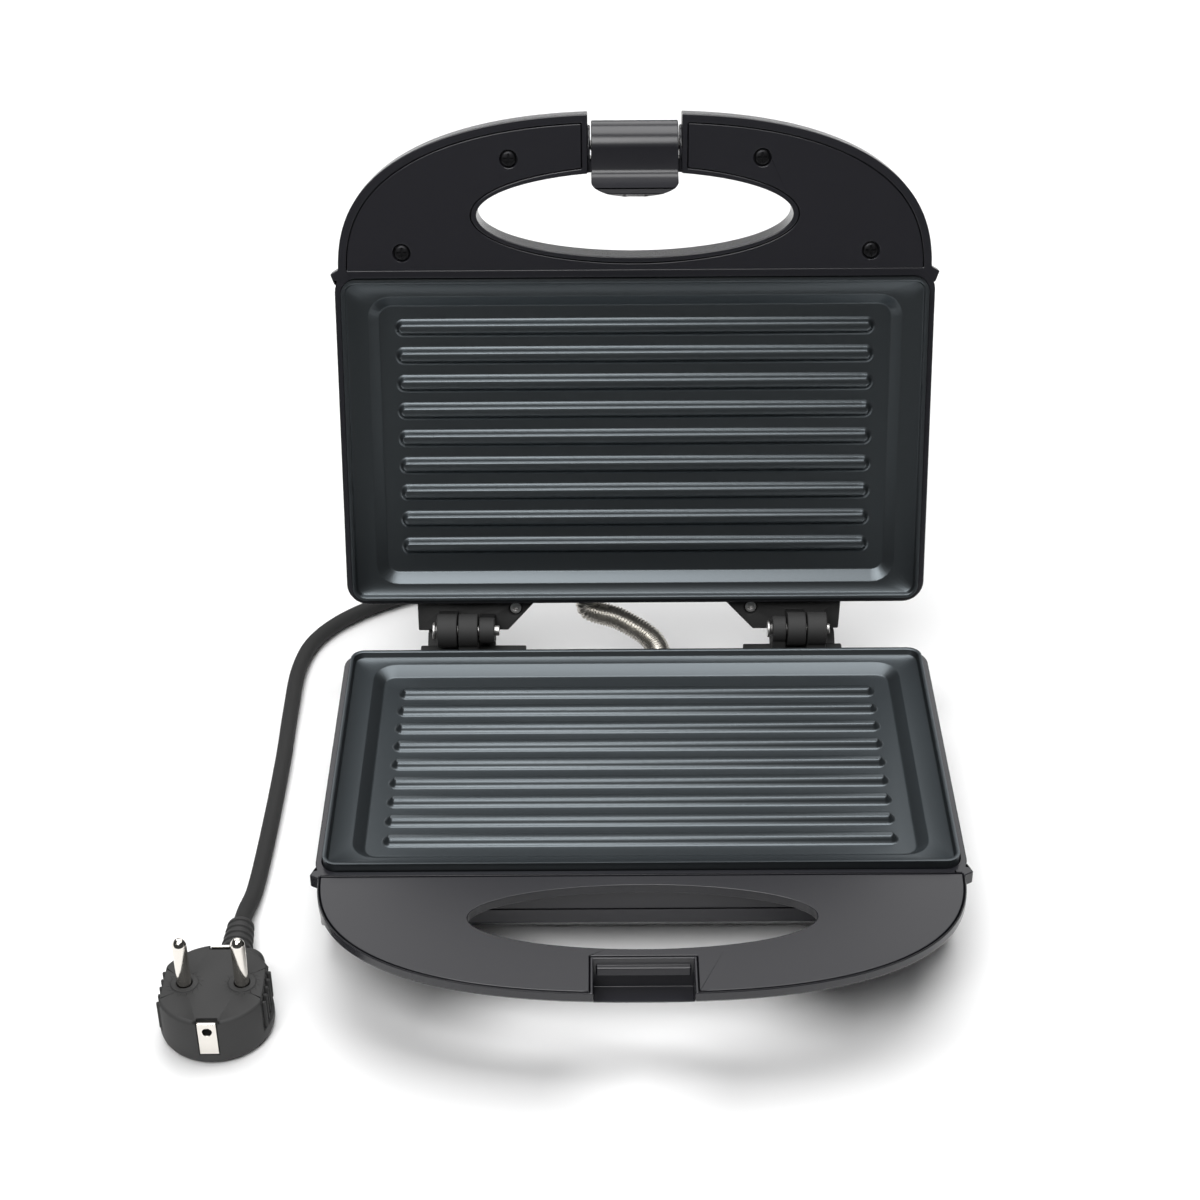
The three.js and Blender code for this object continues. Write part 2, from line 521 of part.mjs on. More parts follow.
function lidCover() {
  const screwSinks = HANDLE_SCREWS.map(([x, y]) => join(
    cylinderZ(1.7, x, y, -10, 2, 12), cylinderZ(3.3, x, y, -COVER_DROP - 1.5, 2, 16)));
  const walls = LID_NOTCH.halfWidth + LID_NOTCH.wall + GAP;
  const notchRoom = box(-walls, walls, -190, -FINGER.centre - 5, -10, 2);
  const hole = fingerHole(FINGER.collar + GAP);
  return cut(coverPlate(COVER.inset, -COVER_DROP, notchRoom, hole), ...screwSinks);
}

function handleScrew(x, y) {
  const top = -COVER_DROP - 0.2;
  const head = cylinderZ(2.9, x, y, top - 1, top, 16);
  const shank = cylinderZ(1.3, x, y, top - 8.6, top - 0.6, 8);
  return cut(join(head, shank), box(x - 1.8, x + 1.8, y - 0.35, y + 0.35, top - 0.6, top + 1),
             box(x - 0.35, x + 0.35, y - 1.8, y + 1.8, top - 0.6, top + 1));
}

function lidHinge({ lidWall, lidEnd, lidKnuckles, screw }) {
  const { front, back } = HINGE_BLOCK;
  const outline = [[-lidWall[1], front], [-lidWall[0], front], [-lidEnd[0], back], [-lidEnd[1], back]];
  const knuckles = lidKnuckles.map(([x0, x1, radius]) => [-x1, -x0, radius]);
  const block = bracket(outline, knuckles);
  const screwX = -screw;
  const well = cylinderZ(2.6, screwX, 6.6, AXIS_Z - HINGE_BLOCK.near - 3, AXIS_Z - HINGE_BLOCK.near + 1, 16);
  const bore = cylinderZ(1.4, screwX, 6.6, AXIS_Z - HINGE_BLOCK.near - 9, AXIS_Z - HINGE_BLOCK.near, 12);
  return cut(block, well, bore);
}

function hingeScrew(x) {
  const top = AXIS_Z - HINGE_BLOCK.near - 1.2;
  const head = cylinderZ(2.2, x, 6.6, top - 1.6, top, 16);
  const socket = cylinderZ(0.9, x, 6.6, top - 0.9, top + 1, 6);
  return cut(join(head, cylinderZ(1.1, x, 6.6, top - 7, top - 1, 8)), socket);
}

function latchAxle() {
  return cylinderX(AXLE.radius, -AXLE.halfLength, AXLE.halfLength, -LATCH.axle, -LATCH.depth, 16);
}

// The latch's side view around its axle: [towards the hinge, out of the lid's face].
function latch() {
  const { barrel, hub, bore, halfWidth, axle, depth } = LATCH;
  const polar = (radius, degrees) => {
    const angle = THREE.MathUtils.degToRad(degrees);
    return [Math.cos(angle) * radius, Math.sin(angle) * radius];
  };
  const points = [];
  for (let turn = 195; turn >= 90; turn -= 10.5) {
    points.push(polar(barrel, turn));
  }
  points.push([9.0, 8.7], [10.6, 10.6], [13.0, 17.3], [15.2, 16.6],
              [16.6, 13.8], [13.8, 13.0], [11.6, 6.6], [4.0, 6.3]);
  for (let turn = 60; turn >= -165; turn -= 22.5) {
    points.push(polar(hub, turn));
  }
  const outline = points.map(([back, out]) => [-axle + back, -depth + out]).reverse();
  const body = profileX(outline, -halfWidth, halfWidth);
  const plan = new THREE.Shape();
  plan.moveTo(-halfWidth - 1, -axle - 12);
  plan.lineTo(halfWidth + 1, -axle - 12);
  plan.lineTo(halfWidth + 1, -axle + 9.5);
  plan.absellipse(0, -axle + 9.5, halfWidth + 1, 7.2, 0, Math.PI, false, 0);
  return cut(body.intersect(prism(plan, -40, 40, 0, 12)), cylinderX(bore, -40, 40, -axle, -depth, 16));
}

// ---------------------------------------------------------------- assembly
function add(parent, name, solid, makeMaterial) {
  const mesh = new THREE.Mesh(toGeometry(solid), makeMaterial());
  mesh.name = name;
  parent.add(mesh);
}

// Stations along X: the base's block and stop, each knuckle with its radius, the pin, and the lid's block
// at the housing wall and at its narrow end.
const LEFT_HINGE = {
  base: [-82.6, -42, [[-67.5, -60.1, KNUCKLE.radius]], -80, -54],
  lidKnuckles: [[-75.6, -68, KNUCKLE.radius], [-59.6, -53.8, KNUCKLE.small]],
  pin: [-76.2, -52.6], lidWall: [-83.8, -37.6], lidEnd: [-83.6, -49], screw: -46,
};
const RIGHT_HINGE = {
  base: [41.5, 79.4, [[52.3, 57.4, KNUCKLE.small], [65.4, 72.8, KNUCKLE.radius]], 52.3, 77],
  lidKnuckles: [[57.9, 64.9, KNUCKLE.radius]],
  pin: [51.6, 73.6], lidWall: [33.6, 79.2], lidEnd: [45.5, 78.4], screw: 44.6,
};
const THERMOSTAT = { x: 30, y: -40, radius: 8, bottom: -17.4, top: -9.5 };
const FUSE = { x0: -40, x1: -26, y: -40, z: -12, radius: 1.9 };
const TERMINALS = { halfWidth: 16, front: -27, back: -14, bottom: -31, top: -21, wires: [-10, 0, 10] };

function terminalBlock() {
  const { halfWidth, front, back, bottom, top, wires } = TERMINALS;
  const wireBores = wires.map((x) => cylinderY(1.6, front - 10, 0, x, (bottom + top) / 2, 10));
  return cut(box(-halfWidth, halfWidth, front, back, bottom, top), ...wireBores);
}

function buildBase() {
  const base = new THREE.Group();
  add(base, "base_shell", baseShell(), blackPlastic);
  add(base, "base_handle_cover", baseCover(), blackPlastic);
  add(base, "lower_grill_plate", grillPlate(), castCoated);
  add(base, "lower_heat_shield", heatShield(), steel);
  add(base, "lower_heating_element", heatingElement(), steel);
  add(base, "lower_element_clamp", elementClamp(), steel);
  const { x: dialX, y: dialY, radius, bottom, top } = THERMOSTAT;
  add(base, "thermostat", cylinderZ(radius, dialX, dialY, bottom, top, 20), steel);
  add(base, "thermal_fuse", cylinderX(FUSE.radius, FUSE.x0, FUSE.x1, FUSE.y, FUSE.z, 12), ceramic);
  add(base, "terminal_block", terminalBlock(), ceramic);
  for (const [place, x, y] of footPoints()) {
    add(base, `foot_${place}`, foot(x, y), rubber);
  }
  platePoints().forEach(([x, y], i) => {
    add(base, `lower_plate_screw_${i + 1}`, plateScrew(x, y, -27.8, -12), steel);
  });
  add(base, "hinge_base_left", baseHinge(...LEFT_HINGE.base), mattePlastic);
  add(base, "hinge_base_right", baseHinge(...RIGHT_HINGE.base), mattePlastic);
  add(base, "hinge_pin_left", hingePin(...LEFT_HINGE.pin), steel);
  add(base, "hinge_pin_right", hingePin(...RIGHT_HINGE.pin), steel);
  add(base, "wire_conduit", wireConduit(), steel);
  add(base, "cord_strain_relief", strainRelief(), rubber);
  add(base, "power_cord", powerCord(), rubber);
  add(base, "plug_body", plugBody(), mattePlastic);
  add(base, "plug_pin_left", plugPin(-1), nickel);
  add(base, "plug_pin_right", plugPin(1), nickel);
  add(base, "plug_earth_clip_front", earthClip(-1), nickel);
  add(base, "plug_earth_clip_rear", earthClip(1), nickel);
  return base;
}

// The lid is drawn face up, so its X runs the other way once it is turned over.
function buildLid() {
  const lid = new THREE.Group();
  add(lid, "lid_shell", lidShell(), blackPlastic);
  add(lid, "lid_handle_cover", lidCover(), blackPlastic);
  add(lid, "upper_grill_plate", grillPlate(), castCoated);
  add(lid, "upper_heat_shield", heatShield(), steel);
  add(lid, "upper_heating_element", heatingElement(), steel);
  add(lid, "upper_element_clamp", elementClamp(), steel);
  platePoints().forEach(([x, y], i) => {
    add(lid, `upper_plate_screw_${i + 1}`, plateScrew(x, y, -SHIELD.bottom - GAP, -12), steel);
  });
  for (const [name, x] of lampPoints()) {
    add(lid, `${name}_lamp_lens`, lampLens(x), lens);
    add(lid, `${name}_neon_lamp`, neonLamp(x), ceramic);
  }
  HANDLE_SCREWS.forEach(([x, y], i) => {
    add(lid, `handle_screw_${i + 1}`, handleScrew(x, y), steel);
  });
  for (const [side, hinge] of [["left", LEFT_HINGE], ["right", RIGHT_HINGE]]) {
    add(lid, `hinge_lid_${side}`, lidHinge(hinge), mattePlastic);
    add(lid, `hinge_screw_${side}`, hingeScrew(-hinge.screw), steel);
  }
  add(lid, "latch_axle", latchAxle(), steel);
  add(lid, "latch", latch(), blackPlastic);
  lid.rotation.y = Math.PI;
  lid.position.set(0, -AXIS_Y, AXIS_Z);
  return lid;
}

const press = new THREE.Group();
press.position.set(0, PLATE_REAR_Y, RIM_HEIGHT);
press.add(buildBase());
const hingeAxis = new THREE.Group();
hingeAxis.position.set(0, AXIS_Y, AXIS_Z);
hingeAxis.rotation.x = -THREE.MathUtils.degToRad(OPEN_ANGLE);
hingeAxis.add(buildLid());
press.add(hingeAxis);
press.updateMatrixWorld(true);

export default press;
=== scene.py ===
import json
import math
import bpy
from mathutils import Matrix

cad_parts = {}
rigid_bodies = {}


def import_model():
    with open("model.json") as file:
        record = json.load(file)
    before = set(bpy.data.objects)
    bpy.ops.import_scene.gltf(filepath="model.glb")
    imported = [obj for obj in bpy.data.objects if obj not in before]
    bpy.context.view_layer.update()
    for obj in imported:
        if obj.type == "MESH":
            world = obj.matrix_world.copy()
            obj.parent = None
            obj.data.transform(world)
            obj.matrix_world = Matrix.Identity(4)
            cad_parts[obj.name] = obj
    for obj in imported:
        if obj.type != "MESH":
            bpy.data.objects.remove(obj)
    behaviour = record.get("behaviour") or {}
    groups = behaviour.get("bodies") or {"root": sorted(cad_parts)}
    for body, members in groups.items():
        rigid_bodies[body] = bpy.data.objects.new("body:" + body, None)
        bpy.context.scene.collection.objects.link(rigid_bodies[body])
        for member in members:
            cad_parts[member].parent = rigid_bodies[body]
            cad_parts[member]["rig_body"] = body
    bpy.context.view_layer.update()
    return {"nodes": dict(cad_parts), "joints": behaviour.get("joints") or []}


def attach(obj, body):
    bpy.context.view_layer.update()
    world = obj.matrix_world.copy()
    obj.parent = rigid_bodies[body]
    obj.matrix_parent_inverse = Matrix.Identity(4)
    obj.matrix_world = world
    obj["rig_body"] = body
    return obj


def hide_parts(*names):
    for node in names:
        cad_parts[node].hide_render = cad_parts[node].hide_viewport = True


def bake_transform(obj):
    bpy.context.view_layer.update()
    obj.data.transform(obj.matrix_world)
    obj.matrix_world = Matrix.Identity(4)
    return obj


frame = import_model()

from types import SimpleNamespace

import bmesh
import bpy
from bpy.props import FloatProperty, FloatVectorProperty, PointerProperty
from mathutils import Matrix, Vector

bl_info = {
    "name": "Panini press",
    "version": (1, 0, 0),
    "blender": (4, 5, 0),
    "location": "View3D > Sidebar > Panini press",
    "description": "Finished pieces for a hinged panini press, built on its packed frame",
    "category": "Object",
}

# The frame's hinge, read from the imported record, in millimetres.
HINGE = next(joint for joint in frame["joints"] if joint["name"] == "lid_hinge")
AXIS_Y = HINGE["pos_m"][1] * 1000
OPEN_ANGLE = math.radians(105.9)

# Both halves are drawn face up in millimetres: plate rim at z = 0, hinge edge at y = 0, handle at -y.
RIM_HEIGHT = 42.0
HINGE_BACK = 12.1
HINGE_RISE = 0.3
REAR = AXIS_Y - HINGE_BACK
GAP = 0.3
FACE = -3.0


# ---------------------------------------------------------------- sizes and colours a user may change
def length(name, description, default):
    return FloatProperty(name=name, description=description, default=default / 1000, unit="LENGTH",
                         precision=5)


def tint(name, description, default):
    return FloatVectorProperty(name=name, description=description, default=default, subtype="COLOR",
                               size=3, min=0, max=1)


class HousingSizes(bpy.types.PropertyGroup):
    half_width: length("Half width", "From the middle to the body's side wall", 110)
    back: length("Back", "Body's back wall behind the plate's hinge edge", 2.4)
    corner: length("Corner", "Radius of the body's corners seen from above", 8)
    wall: length("Wall", "Thickness of the moulded walls", 2.2)
    floor: length("Floor", "Thickness of the outer face", 2.4)
    root: length("Root", "From the hinge edge to where the handle begins", 124)
    soft_edge: length("Soft edge", "Rounding of the outer edges", 5)
    base_depth: length("Base depth", "From the rim to the underside", 34)
    lid_depth: length("Lid depth", "From the rim to the top of the lid", 36)
    handle_half: length("Handle half width", "From the middle to the handle's root", 108.5)
    handle_reach: length("Handle reach", "From the hinge edge to the front of the handle", 182.3)
    handle_bottom: length("Handle bottom", "From the rim to the handle's underside", 17.7)
    handle_wall: length("Handle wall", "Rim round the handle's cover", 3)
    finger_centre: length("Finger hole centre", "From the hinge edge to the finger hole", 146.1)
    finger_half: length("Finger hole half width", "Half of the finger hole's long way", 57.5)
    finger_depth: length("Finger hole half depth", "Half of the finger hole's short way", 15.5)
    collar: length("Collar", "Rim round the finger hole", 2)
    cover: length("Cover", "Thickness of the handle's cover", 2.4)
    cover_inset: length("Cover inset", "Handle's edge to its cover", 3.3)
    base_slant: length("Base slant", "Slanted front edge under the base's tray", 10)
    handle_slant: length("Handle slant", "Slanted edge under the base's handle", 11.2)


class PlateSizes(bpy.types.PropertyGroup):
    width: length("Width", "Across the grill plate", 215)
    depth: length("Depth", "From the hinge edge to the handle edge", 122.9)
    corner: length("Corner", "Radius of the plate's corners", 5)
    lip: length("Lip", "Width of the raised edge", 1.4)
    lip_height: length("Lip height", "Raised edge above the flat rim", 2.6)
    side: length("Side rim", "Flat rim at the sides", 9)
    front: length("Handle rim", "Flat rim at the handle edge", 6.1)
    rear: length("Hinge rim", "Flat rim at the hinge edge", 5.6)
    pan_depth: length("Pan depth", "Floor of the pan below the flat rim", 3.2)
    pan_slope: length("Pan slope", "Width of the slope down to the floor", 4.6)
    body: length("Body", "Thickness of the casting", 9.2)
    first_rib: length("First rib", "From the hinge edge to the first rib", 20.1)
    rib_pitch: length("Rib pitch", "From one rib to the next", 10.52)
    rib_length: length("Rib length", "Rib from end to end", 177.6)
    rib_foot: length("Rib foot", "Rib's width at the pan's floor", 7)
    rib_height: length("Rib height", "Rib above the pan's floor", 2.2)


class LeadSizes(bpy.types.PropertyGroup):
    diameter: length("Diameter", "Mains lead's outer diameter", 6.1)
    plug_radius: length("Plug radius", "Round body of the plug", 19)
    plug_height: length("Plug height", "Back of the plug to its face", 19)
    pin_radius: length("Pin radius", "Each mains pin", 2.4)
    pin_length: length("Pin length", "Each mains pin above the plug's face", 19)
    pin_spacing: length("Pin spacing", "Between the pins' middles", 19)


class FinishColours(bpy.types.PropertyGroup):
    plastic: tint("Gloss plastic", "Housings, covers and latch", (0.0035, 0.0035, 0.0038))
    matt_plastic: tint("Matt plastic", "Hinge brackets and plug", (0.019, 0.019, 0.019))
    coating: tint("Coating", "Non-stick coating of the plates", (0.1, 0.106, 0.114))
    rubber: tint("Rubber", "Lead, strain relief and feet", (0.012, 0.012, 0.013))
    steel: tint("Steel", "Screws, pins, shields and heating elements", (0.56, 0.55, 0.53))
    # Near-black colour for the steel screws of the lid's handle cover; only the dark tone is given, no
    # finish is modelled
    screws: tint("Dark screws", "Screws of the lid's handle cover", (0.03, 0.03, 0.032))
    conduit: tint("Conduit", "Wound steel conduit", (0.72, 0.69, 0.63))
    nickel: tint("Nickel", "Plug pins and earth clips", (0.78, 0.74, 0.68))
    insulator: tint("Insulator", "Terminal block, fuse and lamp bulbs", (0.78, 0.74, 0.66))
    red_lens: tint("Power lens", "Lens of the power lamp", (0.6, 0.02, 0.012))
    green_lens: tint("Ready lens", "Lens of the ready lamp", (0.03, 0.42, 0.07))
    smoothness: FloatProperty(name="Plastic roughness", description="Roughness of the gloss plastic",
                              default=0.1, min=0.02, max=1, subtype="FACTOR")


def in_millimetres(sizes):
    return SimpleNamespace(**{key: getattr(sizes, key) * 1000 for key in type(sizes).__annotations__})


# ---------------------------------------------------------------- places
MM = Matrix.Scale(0.001, 4)
BASE_PLACE = MM @ Matrix.Translation((0, REAR, RIM_HEIGHT))
LID_PLACE = (BASE_PLACE @ Matrix.Translation((0, HINGE_BACK, HINGE_RISE))
             @ Matrix.Rotation(-OPEN_ANGLE, 4, "X")
             @ Matrix.Translation((0, -HINGE_BACK, HINGE_RISE)) @ Matrix.Rotation(math.pi, 4, "Y"))


# ---------------------------------------------------------------- mesh tools
def rectangle(x0, x1, y0, y1, corner=0, segments=8):
    """A flat rectangle at z = 0, with round corners if corner isn't 0."""
    bm = bmesh.new()
    bmesh.ops.create_grid(bm, x_segments=1, y_segments=1, size=0.5)
    bmesh.ops.scale(bm, vec=(x1 - x0, y1 - y0, 1), verts=bm.verts)
    bmesh.ops.translate(bm, vec=((x0 + x1) / 2, (y0 + y1) / 2, 0), verts=bm.verts)
    if corner:
        bmesh.ops.bevel(bm, geom=bm.verts[:], offset=corner, offset_type="OFFSET", segments=segments,
                        profile=0.5, affect="VERTICES", material=-1)
    return bm


def disc(x, y, radius, radius_y=None, segments=48):
    bm = bmesh.new()
    bmesh.ops.create_circle(bm, cap_ends=True, segments=segments, radius=1)
    bmesh.ops.scale(bm, vec=(radius, radius_y or radius, 1), verts=bm.verts)
    bmesh.ops.translate(bm, vec=(x, y, 0), verts=bm.verts)
    return bm


def polygon(points):
    bm = bmesh.new()
    bm.faces.new([bm.verts.new((x, y, 0)) for x, y in points])
    return bm


def upright(bm, low, high, round_low=0, round_high=0, segments=5):
    """Raises a flat outline from low to high and rounds its lower and upper edges."""
    bmesh.ops.translate(bm, vec=(0, 0, low), verts=bm.verts)
    raised = bmesh.ops.extrude_face_region(bm, geom=bm.faces[:])
    moved = [part for part in raised["geom"] if isinstance(part, bmesh.types.BMVert)]
    bmesh.ops.translate(bm, vec=(0, 0, high - low), verts=moved)
    bmesh.ops.recalc_face_normals(bm, faces=bm.faces)
    for level, radius in ((low, round_low), (high, round_high)):
        if radius:
            rim = [edge for edge in bm.edges if all(abs(v.co.z - level) < 1e-4 for v in edge.verts)]
            bmesh.ops.bevel(bm, geom=rim, offset=radius, offset_type="OFFSET", segments=segments,
                            profile=0.5, affect="EDGES", material=-1)
    return bm


def block(x0, x1, y0, y1, z0, z1):
    return upright(rectangle(x0, x1, y0, y1), z0, z1)


def rod_z(x, y, radius, low, high, segments=32, round_low=0, round_high=0):
    return upright(disc(x, y, radius, segments=segments), low, high, round_low, round_high, 3)


def turned(bm, matrix):
    bmesh.ops.transform(bm, matrix=matrix, verts=bm.verts)
    return bm


ALONG_X = Matrix(((0, 0, 1, 0), (1, 0, 0, 0), (0, 1, 0, 0), (0, 0, 0, 1)))
ALONG_Y = Matrix(((1, 0, 0, 0), (0, 0, 1, 0), (0, -1, 0, 0), (0, 0, 0, 1)))


def rod_x(y, z, radius, x0, x1, segments=32, soft=0):
    return turned(upright(disc(y, z, radius, segments=segments), x0, x1, soft, soft, 3), ALONG_X)


def rod_y(x, z, radius, y0, y1, segments=32, soft=0):
    return turned(upright(disc(x, -z, radius, segments=segments), y0, y1, soft, soft, 3), ALONG_Y)


def side_view(points, x0, x1):
    """A side view given as (y, z) points, run along X."""
    return turned(upright(polygon(points), x0, x1), ALONG_X)


def spun(points, x, y, steps=40):
    """Spins a profile of (radius, z) points, which starts and ends on the axis, round an upright axis."""
    bm = bmesh.new()
    verts = [bm.verts.new((x + radius, y, z)) for radius, z in points]
    edges = [bm.edges.new(pair) for pair in zip(verts, verts[1:])]
    bmesh.ops.spin(bm, geom=verts + edges, cent=(x, y, 0), axis=(0, 0, 1), angle=math.tau, steps=steps,
                   use_merge=True)
    bmesh.ops.remove_doubles(bm, verts=bm.verts, dist=1e-4)
    bmesh.ops.recalc_face_normals(bm, faces=bm.faces)
    return bm


def gathered(parts):
    """All the parts in one bmesh."""
    whole = bmesh.new()
    for part in parts:
        mesh = bpy.data.meshes.new("gathered")
        part.to_mesh(mesh)
        part.free()
        whole.from_mesh(mesh)
        bpy.data.meshes.remove(mesh)
    return whole


def combined(body, parts, operation):
    """Joins or cuts closed meshes with the Boolean modifier and gives the result."""
    holders = []
    for bm in (body, gathered(parts)):
        mesh = bpy.data.meshes.new("holder")
        bm.to_mesh(mesh)
        bm.free()
        holder = bpy.data.objects.new("holder", mesh)
        bpy.context.scene.collection.objects.link(holder)
        holders.append(holder)
    modifier = holders[0].modifiers.new("combine", "BOOLEAN")
    modifier.object, modifier.operation, modifier.solver = holders[1], operation, "EXACT"
    seen = holders[0].evaluated_get(bpy.context.evaluated_depsgraph_get())
    result = bmesh.new()
    result.from_mesh(seen.to_mesh())
    seen.to_mesh_clear()
    for holder in holders:
        mesh = holder.data
        bpy.data.objects.remove(holder)
        bpy.data.meshes.remove(mesh)
    if not result.faces:
        raise RuntimeError(f"{operation} left nothing")
    bmesh.ops.remove_doubles(result, verts=result.verts, dist=2e-3)
    bmesh.ops.dissolve_degenerate(result, edges=result.edges, dist=2e-3)
    return result


def joined(body, *parts):
    return combined(body, parts, "UNION")


def cut(body, *parts):
    return combined(body, parts, "DIFFERENCE")


def piece(name, bm, place, body, finish, replaces=(), soft=0, soft_angle=35, segments=2):
    """Turns a finished bmesh into an object in its place, with its finish, on its CAD body."""
    if soft:
        bmesh.ops.connect_verts_concave(bm, faces=[face for face in bm.faces if len(face.verts) > 4])
    bmesh.ops.transform(bm, matrix=place, verts=bm.verts)
    mesh = bpy.data.meshes.new(name)
    bm.to_mesh(mesh)
    bm.free()
    obj = bpy.data.objects.new(name, mesh)
    bpy.context.scene.collection.objects.link(obj)
    return dressed(obj, body, finish, replaces, soft, soft_angle, segments)


def dressed(obj, body, finish, replaces=(), soft=0, soft_angle=35, segments=2):
    obj.data.materials.clear()
    obj.data.materials.append(bpy.data.materials[finish])
    if soft:
        bevel = obj.modifiers.new("soft edges", "BEVEL")
        bevel.width, bevel.segments, bevel.limit_method = soft / 1000, segments, "ANGLE"
        bevel.angle_limit = math.radians(soft_angle)
        bevel.use_clamp_overlap = False
        bevel.harden_normals = True
        bevel.miter_outer = "MITER_ARC"
    obj.data.shade_smooth()
    obj.data.set_sharp_from_angle(angle=math.radians(soft_angle))
    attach(obj, body)
    if replaces:
        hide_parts(*replaces)
    return obj


def refined(node, name, body, finish, soft=0.25, soft_angle=35):
    """A merged copy of a CAD node with softened edges, which stands for that node."""
    bm = bmesh.new()
    bm.from_mesh(frame["nodes"][node].data)
    bmesh.ops.remove_doubles(bm, verts=bm.verts, dist=2e-6)
    bmesh.ops.dissolve_limit(bm, angle_limit=math.radians(0.6), verts=bm.verts, edges=bm.edges)
    return piece(name, bm, Matrix.Identity(4), body, finish, [node], soft, soft_angle)


# ---------------------------------------------------------------- shader tools
def put(tree, kind, settings=None, **inputs):
    """Adds a shader node, sets its settings and sets or links its inputs."""
    node = tree.nodes.new("ShaderNode" + kind)
    for key, value in (settings or {}).items():
        setattr(node, key, value)
    for key, value in inputs.items():
        socket = node.inputs[int(key[1:])] if key[0] == "_" else node.inputs[key.replace("_", " ")]
        if isinstance(value, bpy.types.NodeSocket):
            tree.links.new(value, socket)
        else:
            socket.default_value = value
    return node


def maths(tree, operation, **inputs):
    return put(tree, "Math", {"operation": operation}, **inputs)


def shader_group(name, inputs, outputs):
    """An empty shader node group with named sockets, and its input and output nodes."""
    tree = bpy.data.node_groups.new(name, "ShaderNodeTree")
    for label, value in inputs.items():
        socket = tree.interface.new_socket(name=label, in_out="INPUT", socket_type="NodeSocketFloat")
        socket.default_value = value
    for label in outputs:
        tree.interface.new_socket(name=label, in_out="OUTPUT", socket_type="NodeSocketFloat")
    return tree, tree.nodes.new("NodeGroupInput"), tree.nodes.new("NodeGroupOutput")


def build_fine_grain():
    """Moulded or cast grain: Height for a Bump node."""
    tree, inside, outside = shader_group("fine grain", {"Scale": 900.0, "Depth": 1.0}, ["Height"])
    spot = put(tree, "TexCoord").outputs["Object"]
    fine = put(tree, "TexNoise", Vector=spot, Scale=inside.outputs["Scale"], Detail=3.0, Roughness=0.6)
    broad = put(tree, "TexVoronoi", {"feature": "SMOOTH_F1"}, Vector=spot, Scale=inside.outputs["Scale"])
    both = maths(tree, "ADD", _0=fine.outputs["Fac"], _1=broad.outputs["Distance"])
    deep = maths(tree, "MULTIPLY", _0=both.outputs[0], _1=inside.outputs["Depth"])
    tree.links.new(deep.outputs[0], outside.inputs["Height"])


def build_handling_marks():
    """Wiped and handled surface: a Roughness between Low and High, and fine rub marks as Height."""
    tree, inside, outside = shader_group("handling marks", {"Scale": 14.0, "Low": 0.15, "High": 0.25},
                                         ["Roughness", "Height"])
    spot = put(tree, "TexCoord").outputs["Object"]
    cloudy = put(tree, "TexNoise", Vector=spot, Scale=inside.outputs["Scale"], Detail=5.0, Roughness=0.62,
                 Distortion=0.7)
    stretch = put(tree, "Mapping", Vector=spot, Scale=(60.0, 900.0, 420.0), Rotation=(0.3, 0.2, 0.5))
    rubs = put(tree, "TexNoise", Vector=stretch.outputs[0], Scale=1.0, Detail=2.0)
    fine = maths(tree, "MULTIPLY_ADD", _0=rubs.outputs["Fac"], _1=0.25,
               _2=cloudy.outputs["Fac"])
    spread = put(tree, "MapRange", Value=fine.outputs[0], From_Min=0.35, From_Max=0.85,
                 To_Min=inside.outputs["Low"], To_Max=inside.outputs["High"])
    tree.links.new(spread.outputs[0], outside.inputs["Roughness"])
    tree.links.new(rubs.outputs["Fac"], outside.inputs["Height"])


def build_settled_dust():
    """Fine dust on what faces up: a Mask from 0 to 1."""
    tree, inside, outside = shader_group("settled dust", {"Amount": 0.1, "Scale": 260.0}, ["Mask"])
    spot = put(tree, "TexCoord").outputs["Object"]
    up = put(tree, "SeparateXYZ", Vector=put(tree, "NewGeometry").outputs["Normal"])
    lift = put(tree, "MapRange", Value=up.outputs["Z"], From_Min=0.2, From_Max=0.95)
    specks = put(tree, "TexNoise", Vector=spot, Scale=inside.outputs["Scale"], Detail=6.0, Roughness=0.75)
    thin = put(tree, "MapRange", Value=specks.outputs["Fac"], From_Min=0.5, From_Max=0.8)
    both = maths(tree, "MULTIPLY", _0=lift.outputs[0], _1=thin.outputs[0])
    amount = maths(tree, "MULTIPLY", _0=both.outputs[0], _1=inside.outputs["Amount"])
    tree.links.new(amount.outputs[0], outside.inputs["Mask"])


def build_metal_fleck():
    """Small bright flakes in a coating: a Mask of sharp specks, and a soft Cloud that varies its tone."""
    tree, inside, outside = shader_group("metal fleck", {"Scale": 1500.0, "Share": 0.1}, ["Mask", "Cloud"])
    spot = put(tree, "TexCoord").outputs["Object"]
    cells = put(tree, "TexVoronoi", Vector=spot, Scale=inside.outputs["Scale"])
    chance = put(tree, "SeparateColor", Color=cells.outputs["Color"])
    picked = maths(tree, "LESS_THAN", _0=chance.outputs["Red"],
                 _1=inside.outputs["Share"])
    small = maths(tree, "LESS_THAN", _0=cells.outputs["Distance"], _1=0.42)
    both = maths(tree, "MULTIPLY", _0=picked.outputs[0], _1=small.outputs[0])
    bright = maths(tree, "MULTIPLY", _0=both.outputs[0], _1=chance.outputs["Green"])
    cloud = put(tree, "TexNoise", Vector=spot, Scale=35.0, Detail=4.0)
    tree.links.new(bright.outputs[0], outside.inputs["Mask"])
    tree.links.new(cloud.outputs["Fac"], outside.inputs["Cloud"])


